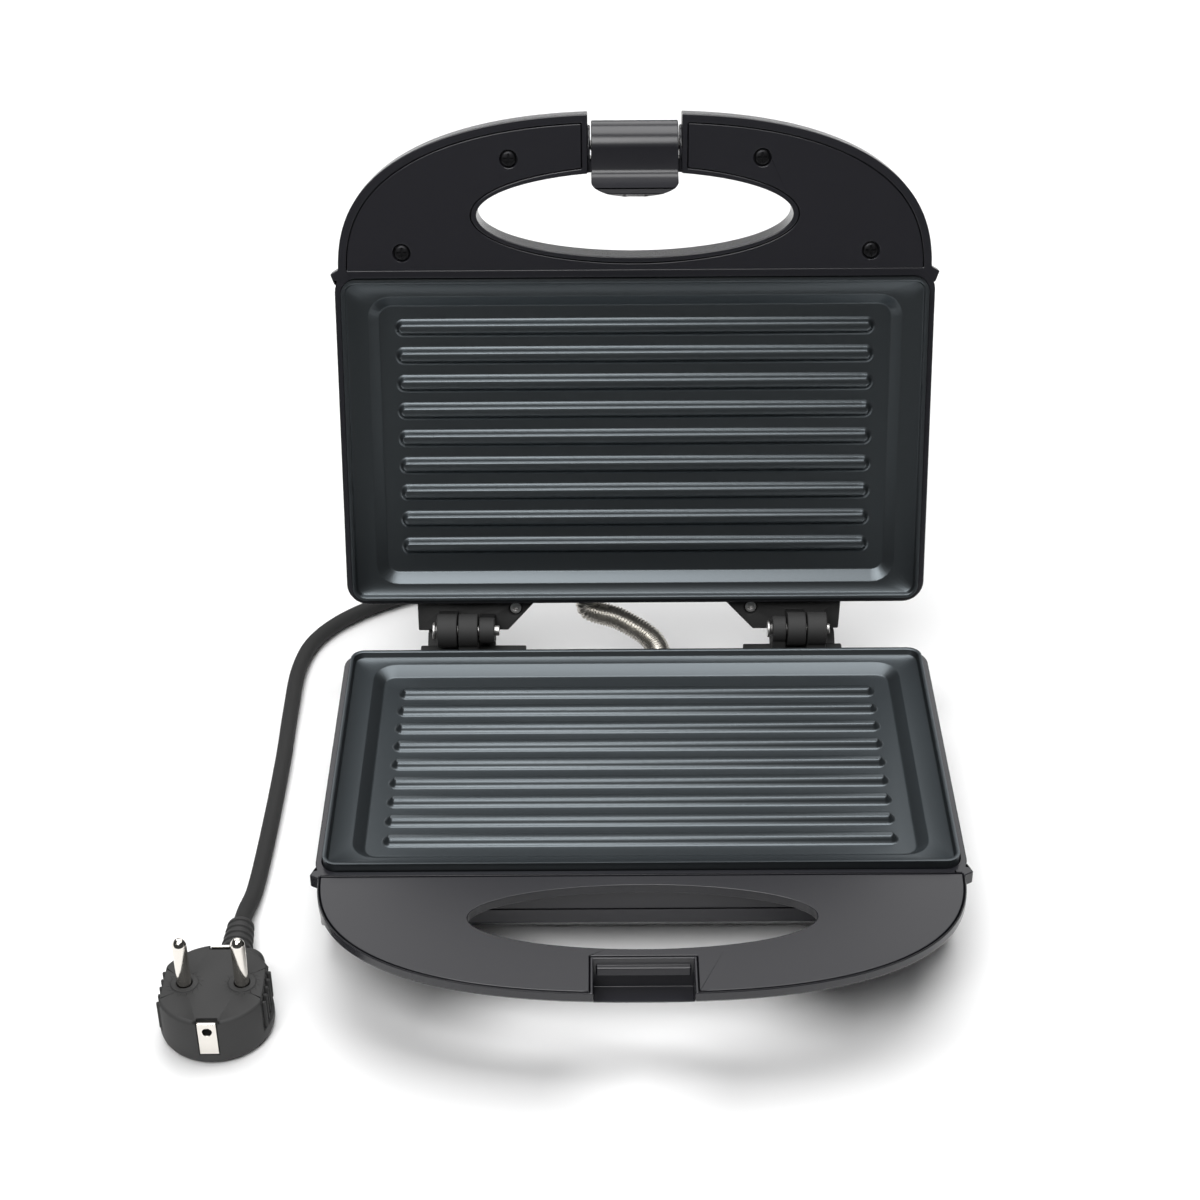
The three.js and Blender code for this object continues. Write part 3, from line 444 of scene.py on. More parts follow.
def build_drawn_lines():
    """Fine lines left by drawing or brushing metal: Roughness round Middle, and Height."""
    tree, inside, outside = shader_group("drawn lines", {"Scale": 1.0, "Middle": 0.3, "Spread": 0.12},
                                         ["Roughness", "Height"])
    spot = put(tree, "TexCoord").outputs["Object"]
    thin = put(tree, "Mapping", Vector=spot, Scale=(90.0, 2600.0, 2600.0))
    lines = put(tree, "TexNoise", Vector=thin.outputs[0], Scale=inside.outputs["Scale"], Detail=3.0)
    stains = put(tree, "TexNoise", Vector=spot, Scale=120.0, Detail=5.0)
    blend = maths(tree, "MULTIPLY_ADD", _0=stains.outputs["Fac"], _1=0.6,
                _2=lines.outputs["Fac"])
    centred = maths(tree, "SUBTRACT", _0=blend.outputs[0], _1=0.8)
    rough = maths(tree, "MULTIPLY_ADD", _0=centred.outputs[0],
                _1=inside.outputs["Spread"], _2=inside.outputs["Middle"])
    tree.links.new(rough.outputs[0], outside.inputs["Roughness"])
    tree.links.new(lines.outputs["Fac"], outside.inputs["Height"])


def group_node(tree, name, **inputs):
    node = tree.nodes.new("ShaderNodeGroup")
    node.node_tree = bpy.data.node_groups[name]
    for key, value in inputs.items():
        node.inputs[key].default_value = value
    return node


def blank_finish(name, **constants):
    """A material with one Principled shader, whose constants are set on its own sockets."""
    material = bpy.data.materials.new(name)
    material.use_nodes = True
    tree = material.node_tree
    tree.nodes.clear()
    shader = tree.nodes.new("ShaderNodeBsdfPrincipled")
    output = tree.nodes.new("ShaderNodeOutputMaterial")
    tree.links.new(shader.outputs[0], output.inputs[0])
    for key, value in constants.items():
        shader.inputs[key.replace("_", " ")].default_value = value
    return tree, shader


def bump(tree, shader, height, distance, strength=1.0):
    node = put(tree, "Bump", Height=height, Distance=distance, Strength=strength)
    tree.links.new(node.outputs[0], shader.inputs["Normal"])


def two_tone(tree, shader, mask, first, second):
    mixed = put(tree, "Mix", {"data_type": "RGBA"}, _0=mask, _6=(*first, 1), _7=(*second, 1))
    tree.links.new(mixed.outputs[2], shader.inputs["Base Color"])


def plastic_finish(name, colour, low, high, grain_scale, grain, specular=0.5, dust=0.02):
    tree, shader = blank_finish(name, Specular_IOR_Level=specular)
    marks = group_node(tree, "handling marks", Scale=16.0, Low=low, High=high)
    tree.links.new(marks.outputs["Roughness"], shader.inputs["Roughness"])
    settled = group_node(tree, "settled dust", Amount=dust, Scale=300.0)
    two_tone(tree, shader, settled.outputs["Mask"], colour, (0.3, 0.29, 0.27))
    texture = group_node(tree, "fine grain", Scale=grain_scale, Depth=1.0)
    bump(tree, shader, texture.outputs["Height"], grain)


def coating_finish(name, colour):
    tree, shader = blank_finish(name, Specular_IOR_Level=0.2)
    fleck = group_node(tree, "metal fleck", Scale=2300.0, Share=0.16)
    tone = put(tree, "MapRange", Value=fleck.outputs["Cloud"], From_Min=0.3, From_Max=0.7, To_Min=0.0,
               To_Max=0.06)
    mask = maths(tree, "ADD", _0=tone.outputs[0], _1=fleck.outputs["Mask"])
    two_tone(tree, shader, mask.outputs[0], colour, (0.2, 0.21, 0.225))
    shine = maths(tree, "MULTIPLY", _0=fleck.outputs["Mask"], _1=0.7)
    tree.links.new(shine.outputs[0], shader.inputs["Metallic"])
    marks = group_node(tree, "handling marks", Scale=22.0, Low=0.5, High=0.62)
    tree.links.new(marks.outputs["Roughness"], shader.inputs["Roughness"])
    texture = group_node(tree, "fine grain", Scale=1700.0, Depth=1.0)
    bump(tree, shader, texture.outputs["Height"], 0.00009)


def metal_finish(name, colour, middle, spread, lines):
    tree, shader = blank_finish(name, Metallic=1.0)
    drawn = group_node(tree, "drawn lines", Scale=1.0, Middle=middle, Spread=spread)
    tree.links.new(drawn.outputs["Roughness"], shader.inputs["Roughness"])
    settled = group_node(tree, "settled dust", Amount=0.08, Scale=400.0)
    two_tone(tree, shader, settled.outputs["Mask"], colour, (0.3, 0.28, 0.25))
    bump(tree, shader, drawn.outputs["Height"], lines)


def lens_finish(name, colour):
    tree, shader = blank_finish(name, Transmission_Weight=0.55, IOR=1.49)
    marks = group_node(tree, "handling marks", Scale=60.0, Low=0.05, High=0.12)
    tree.links.new(marks.outputs["Roughness"], shader.inputs["Roughness"])
    settled = group_node(tree, "settled dust", Amount=0.04, Scale=600.0)
    two_tone(tree, shader, settled.outputs["Mask"], colour, (0.5, 0.48, 0.45))
    texture = group_node(tree, "fine grain", Scale=500.0, Depth=1.0)
    bump(tree, shader, texture.outputs["Height"], 0.00001)


class PressFinishes(bpy.types.Operator):
    """Build the press's shader groups and materials"""
    bl_idname = "press.finishes"
    bl_label = "Finishes"

    def execute(self, context):
        for build in (build_fine_grain, build_handling_marks, build_settled_dust, build_metal_fleck,
                      build_drawn_lines):
            build()
        tints = context.scene.press_finishes
        smooth = tints.smoothness
        plastic_finish("gloss_black_plastic", tints.plastic, smooth * 0.8, smooth * 1.3, 700.0, 0.000003,
                       0.3)
        plastic_finish("matte_black_plastic", tints.matt_plastic, 0.42, 0.58, 1900.0, 0.00005, 0.2)
        plastic_finish("black_rubber", tints.rubber, 0.38, 0.52, 1500.0, 0.00003)
        plastic_finish("pale_insulator", tints.insulator, 0.5, 0.65, 1200.0, 0.00004)
        coating_finish("coated_casting", tints.coating)
        metal_finish("steel", tints.steel, 0.3, 0.14, 0.00001)
        metal_finish("wound_steel", tints.conduit, 0.34, 0.2, 0.00001)
        metal_finish("nickel", tints.nickel, 0.14, 0.08, 0.000004)
        # The lid cover's screws get a near-black steel colour
        metal_finish("dark_screw_steel", tints.screws, 0.42, 0.16, 0.00001)
        lens_finish("red_lens", tints.red_lens)
        lens_finish("green_lens", tints.green_lens)
        return {"FINISHED"}


# ---------------------------------------------------------------- stage
def area_light(name, spot, target, size, power, tone=(1, 1, 1)):
    data = bpy.data.lights.new(name, "AREA")
    data.shape, data.size, data.size_y = "RECTANGLE", size[0], size[1]
    data.energy, data.color = power, tone
    light = bpy.data.objects.new(name, data)
    light.location = spot
    light.rotation_euler = (Vector(target) - Vector(spot)).to_track_quat("-Z", "Y").to_euler()
    bpy.context.scene.collection.objects.link(light)


class PressStage(bpy.types.Operator):
    """Set the camera, the floor and the studio lights"""
    bl_idname = "press.stage"
    bl_label = "Stage"

    def execute(self, context):
        pitch, yaw, roll = (math.radians(value) for value in (34.514, -0.0756, -0.378))
        ahead = Vector((math.sin(yaw) * math.cos(pitch), math.cos(yaw) * math.cos(pitch), -math.sin(pitch)))
        right = Vector((math.cos(yaw), -math.sin(yaw), 0))
        up = right.cross(ahead)
        level = right * math.cos(roll) + up * math.sin(roll)
        lean = up * math.cos(roll) - right * math.sin(roll)
        data = bpy.data.cameras.new("camera")
        data.lens, data.sensor_width = 70.70, 36
        camera = bpy.data.objects.new("camera", data)
        camera.matrix_world = Matrix((level, lean, -ahead)).transposed().to_4x4()
        camera.location = (-0.0125, -0.67487, 0.56243)
        context.scene.collection.objects.link(camera)
        context.scene.camera = camera

        tree, shader = blank_finish("pale_floor", Roughness=0.9, Specular_IOR_Level=0.1)
        tone = put(tree, "TexNoise", Vector=put(tree, "TexCoord").outputs["Object"], Scale=2.0)
        two_tone(tree, shader, tone.outputs["Fac"], (0.94, 0.94, 0.94), (0.95, 0.95, 0.95))
        bm = bmesh.new()
        bmesh.ops.create_grid(bm, x_segments=2, y_segments=2, size=1.1)
        bmesh.ops.translate(bm, vec=(0, 0.7, 0), verts=bm.verts)
        mesh = bpy.data.meshes.new("floor")
        bm.to_mesh(mesh)
        bm.free()
        mesh.materials.append(bpy.data.materials["pale_floor"])
        floor = bpy.data.objects.new("floor", mesh)
        context.scene.collection.objects.link(floor)

        area_light("key", (-0.35, -1.15, 1.6), (0, 0, 0.08), (1.1, 0.9), 24)
        area_light("overhead", (0.1, 0.35, 2.0), (0, 0, 0), (1.8, 1.4), 36)
        area_light("back", (0.0, 1.9, 1.3), (0, 0, 0.05), (2.4, 1.2), 17)

        world = bpy.data.worlds.new("studio")
        world.use_nodes = True
        tree = world.node_tree
        tree.nodes.clear()
        output = tree.nodes.new("ShaderNodeOutputWorld")
        seen = put(tree, "Background", Color=(1, 1, 1, 1), Strength=1.0)
        lit = put(tree, "Background", Color=(1, 1, 1, 1), Strength=0.05)
        chosen = put(tree, "MixShader", _0=put(tree, "LightPath").outputs["Is Camera Ray"],
                     _1=lit.outputs[0], _2=seen.outputs[0])
        tree.links.new(chosen.outputs[0], output.inputs["Surface"])
        context.scene.world = world
        context.scene.view_settings.view_transform = "Standard"
        return {"FINISHED"}


# ---------------------------------------------------------------- mains lead and plug
LIE = -38.45                        # the lead's middle where it lies on the table
CORD_EXIT = (57, -27.5)
PLUG = SimpleNamespace(x=-141.5, y=-155.5, lift=0.15, clip=17.8)
CORD_POINTS = (
    (57, 10.3, -27.5), (57, 20, -27.5), (57, 31.4, -27.5), (57.6, 42, -29.5), (60, 56, LIE + 2),
    (68, 74, LIE), (82, 98, LIE), (95, 134, LIE), (98, 176, LIE), (83, 212, LIE), (48, 229, LIE),
    (11, 221, LIE), (-17, 196, LIE), (-36, 160, LIE), (-52, 127, LIE), (-74, 104, LIE), (-98, 91, LIE),
    (-113, 81, LIE), (-124, 70, LIE), (-131, 58, LIE), (-134.6, 41, LIE),
    (-135, 14, LIE), (-134.6, -18, LIE), (-135.6, -72, LIE), (-136.8, -94, LIE),
    (-138.2, -105, LIE + 1.6), (-138.6, -113, -35.7), (-138.6, -122.4, -35.65),
)
CONDUIT_BASE = ((10, -0.5, -15), (10, 8, -14), (7, 19, -10), (-6, 25.5, -4))
CONDUIT_LID = (18, -15.5)           # where it enters the lid
CONDUIT_RADIUS = 4.5
CONDUIT_PITCH = 1.15


def smooth_line(points, steps):
    """Points on a centripetal spline through the given ones."""
    ends = [2 * points[0] - points[1], *points, 2 * points[-1] - points[-2]]
    line = []
    for a, b, c, d in zip(ends, ends[1:], ends[2:], ends[3:]):
        t1 = (b - a).length ** 0.5
        t2 = t1 + (c - b).length ** 0.5
        t3 = t2 + (d - c).length ** 0.5
        for k in range(steps):
            t = t1 + (t2 - t1) * k / steps
            ab = a.lerp(b, t / t1)
            bc = b.lerp(c, (t - t1) / (t2 - t1))
            cd = c.lerp(d, (t - t2) / (t3 - t2))
            abc = ab.lerp(bc, t / t2)
            bcd = bc.lerp(cd, (t - t1) / (t3 - t1))
            line.append(abc.lerp(bcd, (t - t1) / (t2 - t1)))
    return line + [points[-1]]


def flex_band(thick, start, depth, down, up, end):
    """One groove in a sleeve's profile."""
    return [(thick, start), (thick - depth, start + down), (thick - depth, start + up), (thick, start + end)]


def strain_relief(x, z, back):
    """Tapered sleeve with flex bands, as a spin round Y that starts inside the back wall."""
    profile = [(0, 0.4), (4.9, 0.4), (4.9, back + 0.35), (6.4, back + 0.35), (6.6, back + 0.6),
               (6.6, back + 2.2), (6.3, back + 2.6), (5.1, back + 2.7)]
    for band in range(6):
        start = back + 5.2 + band * 3.5
        thick = 5.0 - (start - back) * 0.039
        profile += flex_band(thick, start, 0.75, 0.35, 1.15, 1.5)
    profile += [(3.95, back + 27.2), (3.7, back + 28), (3.2, back + 28), (3.2, back + 20), (0, back + 20)]
    return turned(spun(profile, 0, 0), Matrix.Translation((x, 0, z)) @ Matrix.Rotation(-math.pi / 2, 4, "X"))


def plug_body(lead, x, y, table, face, cord_x, cord_z):
    """Moulded plug lying on its back: round body, shoulder, banded boot, side grips and earth clip slots."""
    puck = upright(disc(x, y, lead.plug_radius, segments=96), table, face, 3.2, 1.2)
    shoulder = upright(rectangle(x - 14, x + 14, y, y + 25, 6), table, table + 13, 3, 3, 4)
    boot_profile = [(0, 20), (6.1, 20)]
    for band in range(5):
        start = 26.4 + band * 3.1
        thick = 6.1 - (start - 20) * 0.068
        boot_profile += flex_band(thick, start, 0.8, 0.3, 1.1, 1.4)
    boot_profile += [(4.6, 41.4), (4.2, 42), (3.35, 42), (3.35, 33), (0, 33)]
    boot = turned(spun(boot_profile, 0, 0),
                  Matrix.Translation((cord_x, y, cord_z)) @ Matrix.Rotation(-math.pi / 2, 4, "X"))
    cuts = []
    for side in (-1, 1):
        middle = x + side * (lead.plug_radius + 1)
        cuts.append(block(middle - 3.4, middle + 3.4, y - 9, y + 9, face - 13, face + 1))
        cuts.append(rod_z(x + side * lead.pin_spacing / 2, y, lead.pin_radius + 0.3, face - 8, face + 1))
        clip = y + side * PLUG.clip
        cuts.append(block(x - 3.4, x + 3.4, clip - 1.6, clip + 1.6, face - 14, face + 1))
    body = cut(joined(puck, shoulder), *cuts)
    ribs = []
    for side in (-1, 1):
        for step in range(5):
            at = y - 7 + step * 3.5
            edge = x + side * (lead.plug_radius - 2.4)
            ribs.append(upright(rectangle(min(edge, edge + side * 1.4), max(edge, edge + side * 1.4),
                                          at - 0.55, at + 0.55), face - 12.9, face - 1.6, 0, 0.5, 2))
    for side in (-1, 1):
        cx = x + side * lead.pin_spacing / 2
        ring = cut(rod_z(cx, y, 4.6, face - 0.6, face + 0.45, 48, 0, 0.25),
                   rod_z(cx, y, lead.pin_radius + 0.3, face - 2, face + 2, 48))
        ribs.append(ring)
    return gathered([joined(body, *ribs), boot])


class PressLead(bpy.types.Operator):
    """Lay the mains lead from its strain relief to its plug"""
    bl_idname = "press.lead"
    bl_label = "Mains lead"

    def execute(self, context):
        lead = in_millimetres(context.scene.press_lead)
        back = context.scene.press_housing.back * 1000
        points = [BASE_PLACE @ Vector(point) for point in CORD_POINTS]
        line = smooth_line(points, 10)
        curve = bpy.data.curves.new("mains_lead", "CURVE")
        curve.dimensions = "3D"
        spline = curve.splines.new("POLY")
        spline.points.add(len(line) - 1)
        for point, spot in zip(spline.points, line):
            point.co = (*spot, 1)
        curve.bevel_depth = lead.diameter / 2000
        curve.bevel_resolution = 6
        curve.use_fill_caps = True
        curve.materials.append(bpy.data.materials["black_rubber"])
        cord = bpy.data.objects.new("mains_lead", curve)
        context.scene.collection.objects.link(cord)
        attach(cord, "base")
        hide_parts("power_cord")

        relief = piece("strain_relief", strain_relief(*CORD_EXIT, back), BASE_PLACE, "base", "black_rubber",
                       ["cord_strain_relief"])
        x, y, table = PLUG.x, PLUG.y, -RIM_HEIGHT + PLUG.lift
        face = table + lead.plug_height
        cord_x, _, cord_z = CORD_POINTS[-1]
        plug = piece("plug", plug_body(lead, x, y, table, face, cord_x, cord_z), BASE_PLACE, "base",
                     "matte_black_plastic", ["plug_body"], soft=0.3)
        for side, where in ((-1, "left"), (1, "right")):
            pin_x, radius, top = x + side * lead.pin_spacing / 2, lead.pin_radius, face + lead.pin_length
            tip = [(0, top), (1.1, top), (1.5, top - 0.25), (radius - 0.1, top - 1.5), (radius, top - 2.0)]
            pin = spun([*tip, (radius, face - 7.7), (0, face - 7.7)], pin_x, y)
            piece(f"plug_pin_{where}_turned", pin, BASE_PLACE, "base", "nickel",
                               [f"plug_pin_{where}"])
        for side, where in ((-1, "front"), (1, "rear")):
            clip = y + side * PLUG.clip
            strip = block(x - 3.1, x + 3.1, min(clip, clip + side), max(clip, clip + side),
                          face - 13.7, face - 0.4)
            dimple = rod_y(x, face - 4, 1.6, clip - 3, clip + 3)
            piece(f"earth_clip_{where}", cut(strip, dimple), BASE_PLACE, "base", "nickel",
                               [f"plug_earth_clip_{where}"], soft=0.2)
        return {"FINISHED"}


# ---------------------------------------------------------------- housings
HANDLE_SCREWS = ((-46, -166.4), (45.5, -166.4), (-86, -132.6), (85, -132.6))
PLATE_SCREWS = ((-92, -103), (92, -103), (-92, -20), (92, -20))
FEET = (("front_left", -92, -104.5), ("front_right", 92, -104.5),
        ("rear_left", -92, -9), ("rear_right", 92, -9))
LAMPS = (("power", -8, "red_lens"), ("ready", 8, "green_lens"))
LAMP_Y = -40
LATCH_AXLE = (-170.2, -10.3)
LID_NOTCH = SimpleNamespace(half=17.0, back=165.6, wall=2.0)
BASE_NOTCH = SimpleNamespace(half=16.2, back=166.1, wall=2.0)
NOTCH_FLOOR = -15.2
PLATE_FRONT = -122.9 - GAP          # plate's handle edge, with its clearance
COVER_REAR = -126.0
BEYOND = 190                        # past the handle's front, for cuts that run out of it
TAB_TIP = 111.4
WELL = SimpleNamespace(half=62, front=161.7, back=126.05, corner=8, wall=2)
FLUSH = SimpleNamespace(inset=1.0, rebate=0.7, rear=-125.4, notch_wall=1, lip=1.2, lip_low=-6.5)
SLANT_WALL = 3.4                    # tray's wall along its slanted edge, measured level
AXLE_RADIUS = 1.75
AXLE_BORE = 1.85


def bow(size, inset, root):
    """Flat outline of the handle's bow: a superellipse in front of the body, cut off along y = root."""
    half, reach = size.handle_half - inset, size.handle_reach - size.root - inset
    bm = bmesh.new()
    bmesh.ops.create_circle(bm, cap_ends=True, segments=240, radius=1)
    for vert in bm.verts:
        across, out = vert.co.x, vert.co.y
        if out < -1e-6:
            vert.co.x = math.copysign(abs(across) ** 0.8, across) * half
            vert.co.y = -size.root - abs(out) ** 0.8 * reach
        else:
            square = max(abs(across), abs(out))
            vert.co.x = across / square * half
            vert.co.y = -size.root + out / square * 24
    bmesh.ops.bisect_plane(bm, geom=bm.verts[:] + bm.edges[:] + bm.faces[:], plane_co=(0, root, 0),
                           plane_no=(0, 1, 0), clear_outer=True)
    return bm


def finger_hole(size, grow, low=-45, high=5):
    ellipse = disc(0, -size.finger_centre, size.finger_half + grow, size.finger_depth + grow, 128)
    return upright(ellipse, low, high)


def front_wedge(size, depth, wall):
    """The corner below the slanted front edge of the base's tray."""
    front, slant = -size.root - 2, size.base_slant + 1 + wall
    return side_view([(front - 1, -depth + slant), (front - 1, -depth - 1), (front + slant, -depth - 1)],
                     -150, 150)


def well(grow, high):
    """Room under the base's finger hole."""
    return upright(rectangle(-WELL.half - grow, WELL.half + grow, -WELL.front - grow, -WELL.back + grow,
                             WELL.corner + grow), -60, high)


def housing(size, depth, notch, is_base=False):
    """One moulded half: a tray round the plate and a hollow bow handle, slanted underneath on the base."""
    tray = upright(rectangle(-size.half_width, size.half_width, -size.root - 2, size.back, size.corner),
                   -depth, FACE, size.soft_edge)
    edge, steps = (size.handle_slant, 1) if is_base else (size.soft_edge, 5)
    handle = upright(bow(size, 0, -size.root + 20), -size.handle_bottom, FACE, edge, segments=steps)
    inner = size.half_width - 6
    tabs = [upright(polygon([(side * inner, -size.root - 5), (side * TAB_TIP, -size.root - 0.8),
                             (side * size.half_width, -size.root + 3), (side * inner, -size.root + 3)]),
                    FACE - 5, FACE) for side in (-1, 1)]
    plate_room = upright(rectangle(-size.half_width + size.wall, size.half_width - size.wall, PLATE_FRONT,
                                   GAP, size.corner - 2), -depth + size.floor, 1)
    walls = notch.half + notch.wall
    edge = size.handle_slant - 2.2 if is_base else 0
    handle_room = upright(bow(size, size.handle_wall, -size.root + 20), -size.handle_bottom + 2.5, 1, edge,
                          segments=1)
    handle_room = cut(handle_room, block(-150, 150, PLATE_FRONT - size.handle_wall, 0, -60, 10))
    collar = well(WELL.wall, FACE - size.cover - GAP) if is_base else finger_hole(size, size.collar)
    handle_room = cut(handle_room, collar)
    handle_room = cut(handle_room, block(-walls, walls, -BEYOND, -size.finger_centre, -40, 2))
    if is_base:
        tray = cut(tray, front_wedge(size, depth, 0))
        plate_room = cut(plate_room, front_wedge(size, depth, SLANT_WALL))
    outside = joined(joined(tray, handle), *tabs)
    return cut(cut(cut(outside, plate_room), handle_room), well(0, 2) if is_base else finger_hole(size, 0))


def handle_cover(size, notch):
    """Thin cover set into the lid's handle, with a shadow gap round it."""
    plate = upright(bow(size, size.cover_inset, COVER_REAR), FACE - size.cover, FACE)
    walls = notch.half + notch.wall + GAP
    notched = cut(plate, block(-walls, walls, -BEYOND, -size.finger_centre - 5, -10, 2))
    return cut(notched, finger_hole(size, size.collar + GAP))


def flush_cover(size, notch):
    """The base's cover: it reaches the handle's edge and turns down round the finger hole."""
    plate = upright(bow(size, FLUSH.inset, COVER_REAR), FACE - size.cover, FACE)
    walls = notch.half + FLUSH.notch_wall + GAP
    plate = cut(plate, block(-walls, walls, -BEYOND, -notch.back + FLUSH.notch_wall + GAP, -10, 2))
    return cut(joined(plate, finger_hole(size, FLUSH.lip, FLUSH.lip_low, -4)), finger_hole(size, 0))


class PressHousings(bpy.types.Operator):
    """Mould the base, the lid and the covers of their handles"""
    bl_idname = "press.housings"
    bl_label = "Housings"

    def execute(self, context):
        size = in_millimetres(context.scene.press_housing)
        gloss = "gloss_black_plastic"
        half, back = BASE_NOTCH.half, BASE_NOTCH.back
        pocket = block(-half, half, -BEYOND, -back, NOTCH_FLOOR, 2)
        relief = block(-half, half, -BEYOND, -size.handle_reach + 1.9, -30, 2)
        conduit_x, _, conduit_z = CONDUIT_BASE[0]
        holes = [rod_y(conduit_x, conduit_z, CONDUIT_RADIUS + 0.7, -1, 4), rod_y(*CORD_EXIT, 5.3, -1, 4)]
        holes += [rod_z(x, y, 3.4, -size.base_depth - 1, -size.base_depth + 1.5) for _, x, y in FEET]
        wells = [rod_z(x, y, 3.8, -size.base_depth - 1, -27.5) for x, y in PLATE_SCREWS]
        bores = [rod_z(x, y, 1.7, -28, -15) for x, y in PLATE_SCREWS]
        ridge = side_view([(-back - 2.2, -8.6), (-back - 1.4, -6), (-back + 0.5, -5.6), (-back + 0.5, -9)],
                          -half + 1, half - 1)
        posts = [rod_z(x, y, 5, -size.base_depth + 1, -20.3) for x, y in PLATE_SCREWS]
        rim = half + FLUSH.notch_wall
        rebate = cut(upright(bow(size, FLUSH.rebate, FLUSH.rear), FACE - size.cover - GAP, 2),
                     block(-rim, rim, -BEYOND, -back + FLUSH.notch_wall, -40, 3))
        lip_room = finger_hole(size, FLUSH.lip + GAP, FLUSH.lip_low - GAP, 2)
        shell = cut(cut(housing(size, size.base_depth, BASE_NOTCH, True), rebate), lip_room)
        shell = cut(cut(cut(shell, pocket), relief), *holes)
        shell = cut(cut(joined(shell, *posts, ridge), *wells), *bores)
        piece("base_housing", shell, BASE_PLACE, "base", gloss, ["base_shell"], soft=0.4)
        piece("base_cover", flush_cover(size, BASE_NOTCH), BASE_PLACE, "base", gloss, ["base_handle_cover"],
              soft=0.3)

        half, back = LID_NOTCH.half, LID_NOTCH.back
        axle_y, axle_z = LATCH_AXLE
        notch = block(-half, half, -BEYOND, -back, -40, 2)
        bar_top = block(-half, half, -back - 1, -size.finger_centre, -5.2, 2)
        holes = [rod_y(*CONDUIT_LID, CONDUIT_RADIUS + 0.7, -1, 4)]
        holes += [rod_z(x, LAMP_Y, 3.3, -size.lid_depth - 1, -size.lid_depth + 4) for _, x, _ in LAMPS]
        bosses = [rod_x(axle_y, axle_z, 7.2, min(side * (half - 0.9), side * (half + 0.5)),
                        max(side * (half - 0.9), side * (half + 0.5)), 48) for side in (-1, 1)]
        bosses += [rod_z(x, y, 3.6, -size.handle_bottom + 1, FACE - size.cover - GAP)
                   for x, y in HANDLE_SCREWS]
        bores = [rod_x(axle_y, axle_z, AXLE_BORE, -24, 24)]
        bores += [rod_z(x, y, 1.5, -size.handle_bottom + 4, 0) for x, y in HANDLE_SCREWS]
        shell = cut(cut(cut(housing(size, size.lid_depth, LID_NOTCH), notch), bar_top), *holes)
        shell = cut(joined(shell, *bosses), *bores)
        piece("lid_housing", shell, LID_PLACE, "lid", gloss, ["lid_shell"], soft=0.4)
        drilled = cut(handle_cover(size, LID_NOTCH), *[rod_z(x, y, 1.7, -10, 2) for x, y in HANDLE_SCREWS])
        sunk = cut(drilled, *[rod_z(x, y, 3.3, FACE - 1.5, 2) for x, y in HANDLE_SCREWS])
        piece("lid_cover", sunk, LID_PLACE, "lid", gloss, ["lid_handle_cover"], soft=0.3)
        return {"FINISHED"}


# ---------------------------------------------------------------- grill plates
PAN_CORNER = 8.5


def edge_faces(bm, level):
    return [face for face in bm.faces if all(abs(v.co.z - level) < 1e-4 for v in face.verts)]


def grill_plate(size):
    """Casting with a raised lip, a flat rim, a sloped pan and round-ended ribs."""
    half = size.width / 2
    bm = rectangle(-half, half, -size.depth, 0, size.corner, 6)
    bmesh.ops.translate(bm, vec=(0, 0, -size.body), verts=bm.verts)
    raised = bmesh.ops.extrude_face_region(bm, geom=bm.faces[:])
    top = [part for part in raised["geom"] if isinstance(part, bmesh.types.BMFace)]
    lifted = [part for part in raised["geom"] if isinstance(part, bmesh.types.BMVert)]
    bmesh.ops.translate(bm, vec=(0, 0, size.body), verts=lifted)
    bmesh.ops.recalc_face_normals(bm, faces=bm.faces)

    def step(thickness, depth):
        bmesh.ops.inset_region(bm, faces=top, thickness=thickness, depth=depth, use_even_offset=True)

    step(0.3, 0)
    step(size.lip - 0.55, 0)
    step(0.25, -0.25)
    step(0.15, -size.lip_height + 0.55)
    step(0.35, -0.3)
    step(0.01, 0)
    pan_x = half - size.side
    pan_front, pan_rear = -size.depth + size.front, -size.rear
    for vert in top[0].verts:
        old = Vector((math.copysign(half - size.corner, vert.co.x),
                      -size.corner if vert.co.y > -size.depth / 2 else -size.depth + size.corner, vert.co.z))
        new = Vector((math.copysign(pan_x - PAN_CORNER, vert.co.x),
                      pan_rear - PAN_CORNER if vert.co.y > -size.depth / 2 else pan_front + PAN_CORNER,
                      vert.co.z))
        vert.co = new + (vert.co - old).normalized() * PAN_CORNER
    step(0.5, -0.12)
    step(size.pan_slope - 1.3, -size.pan_depth + 0.36)
    step(0.5, -0.2)
    step(0.3, -0.04)
    floor = -size.lip_height - size.pan_depth
    parts = [bm]
    shape = ((0.45, 0.1), (0.45, 0.3), (0.45, 0.72), (0.4, 0.7), (0.35, 0.27), (0.35, 0.1))
    scale = size.rib_height / sum(rise for _, rise in shape)
    for count in range(9):
        y = -size.first_rib - count * size.rib_pitch
        rib = disc(0, 0, size.rib_foot / 2, segments=32)
        reach = (size.rib_length - size.rib_foot) / 2
        for vert in rib.verts:
            if abs(vert.co.x) > 1e-4:
                vert.co.x += math.copysign(reach, vert.co.x)
        upright(rib, floor - 0.3, floor + 0.01)
        crown = edge_faces(rib, floor + 0.01)
        for width, rise in shape:
            bmesh.ops.inset_region(rib, faces=crown, thickness=width, depth=rise * scale,
                                   use_even_offset=True)
        parts.append(turned(rib, Matrix.Translation((0, y, 0))))
    for x, y in PLATE_SCREWS:
        boss = cut(rod_z(x, y, 4, -18.9, -size.body + 1), rod_z(x, y, 1.6, -20, -11))
        parts.append(boss)
    return gathered(parts)


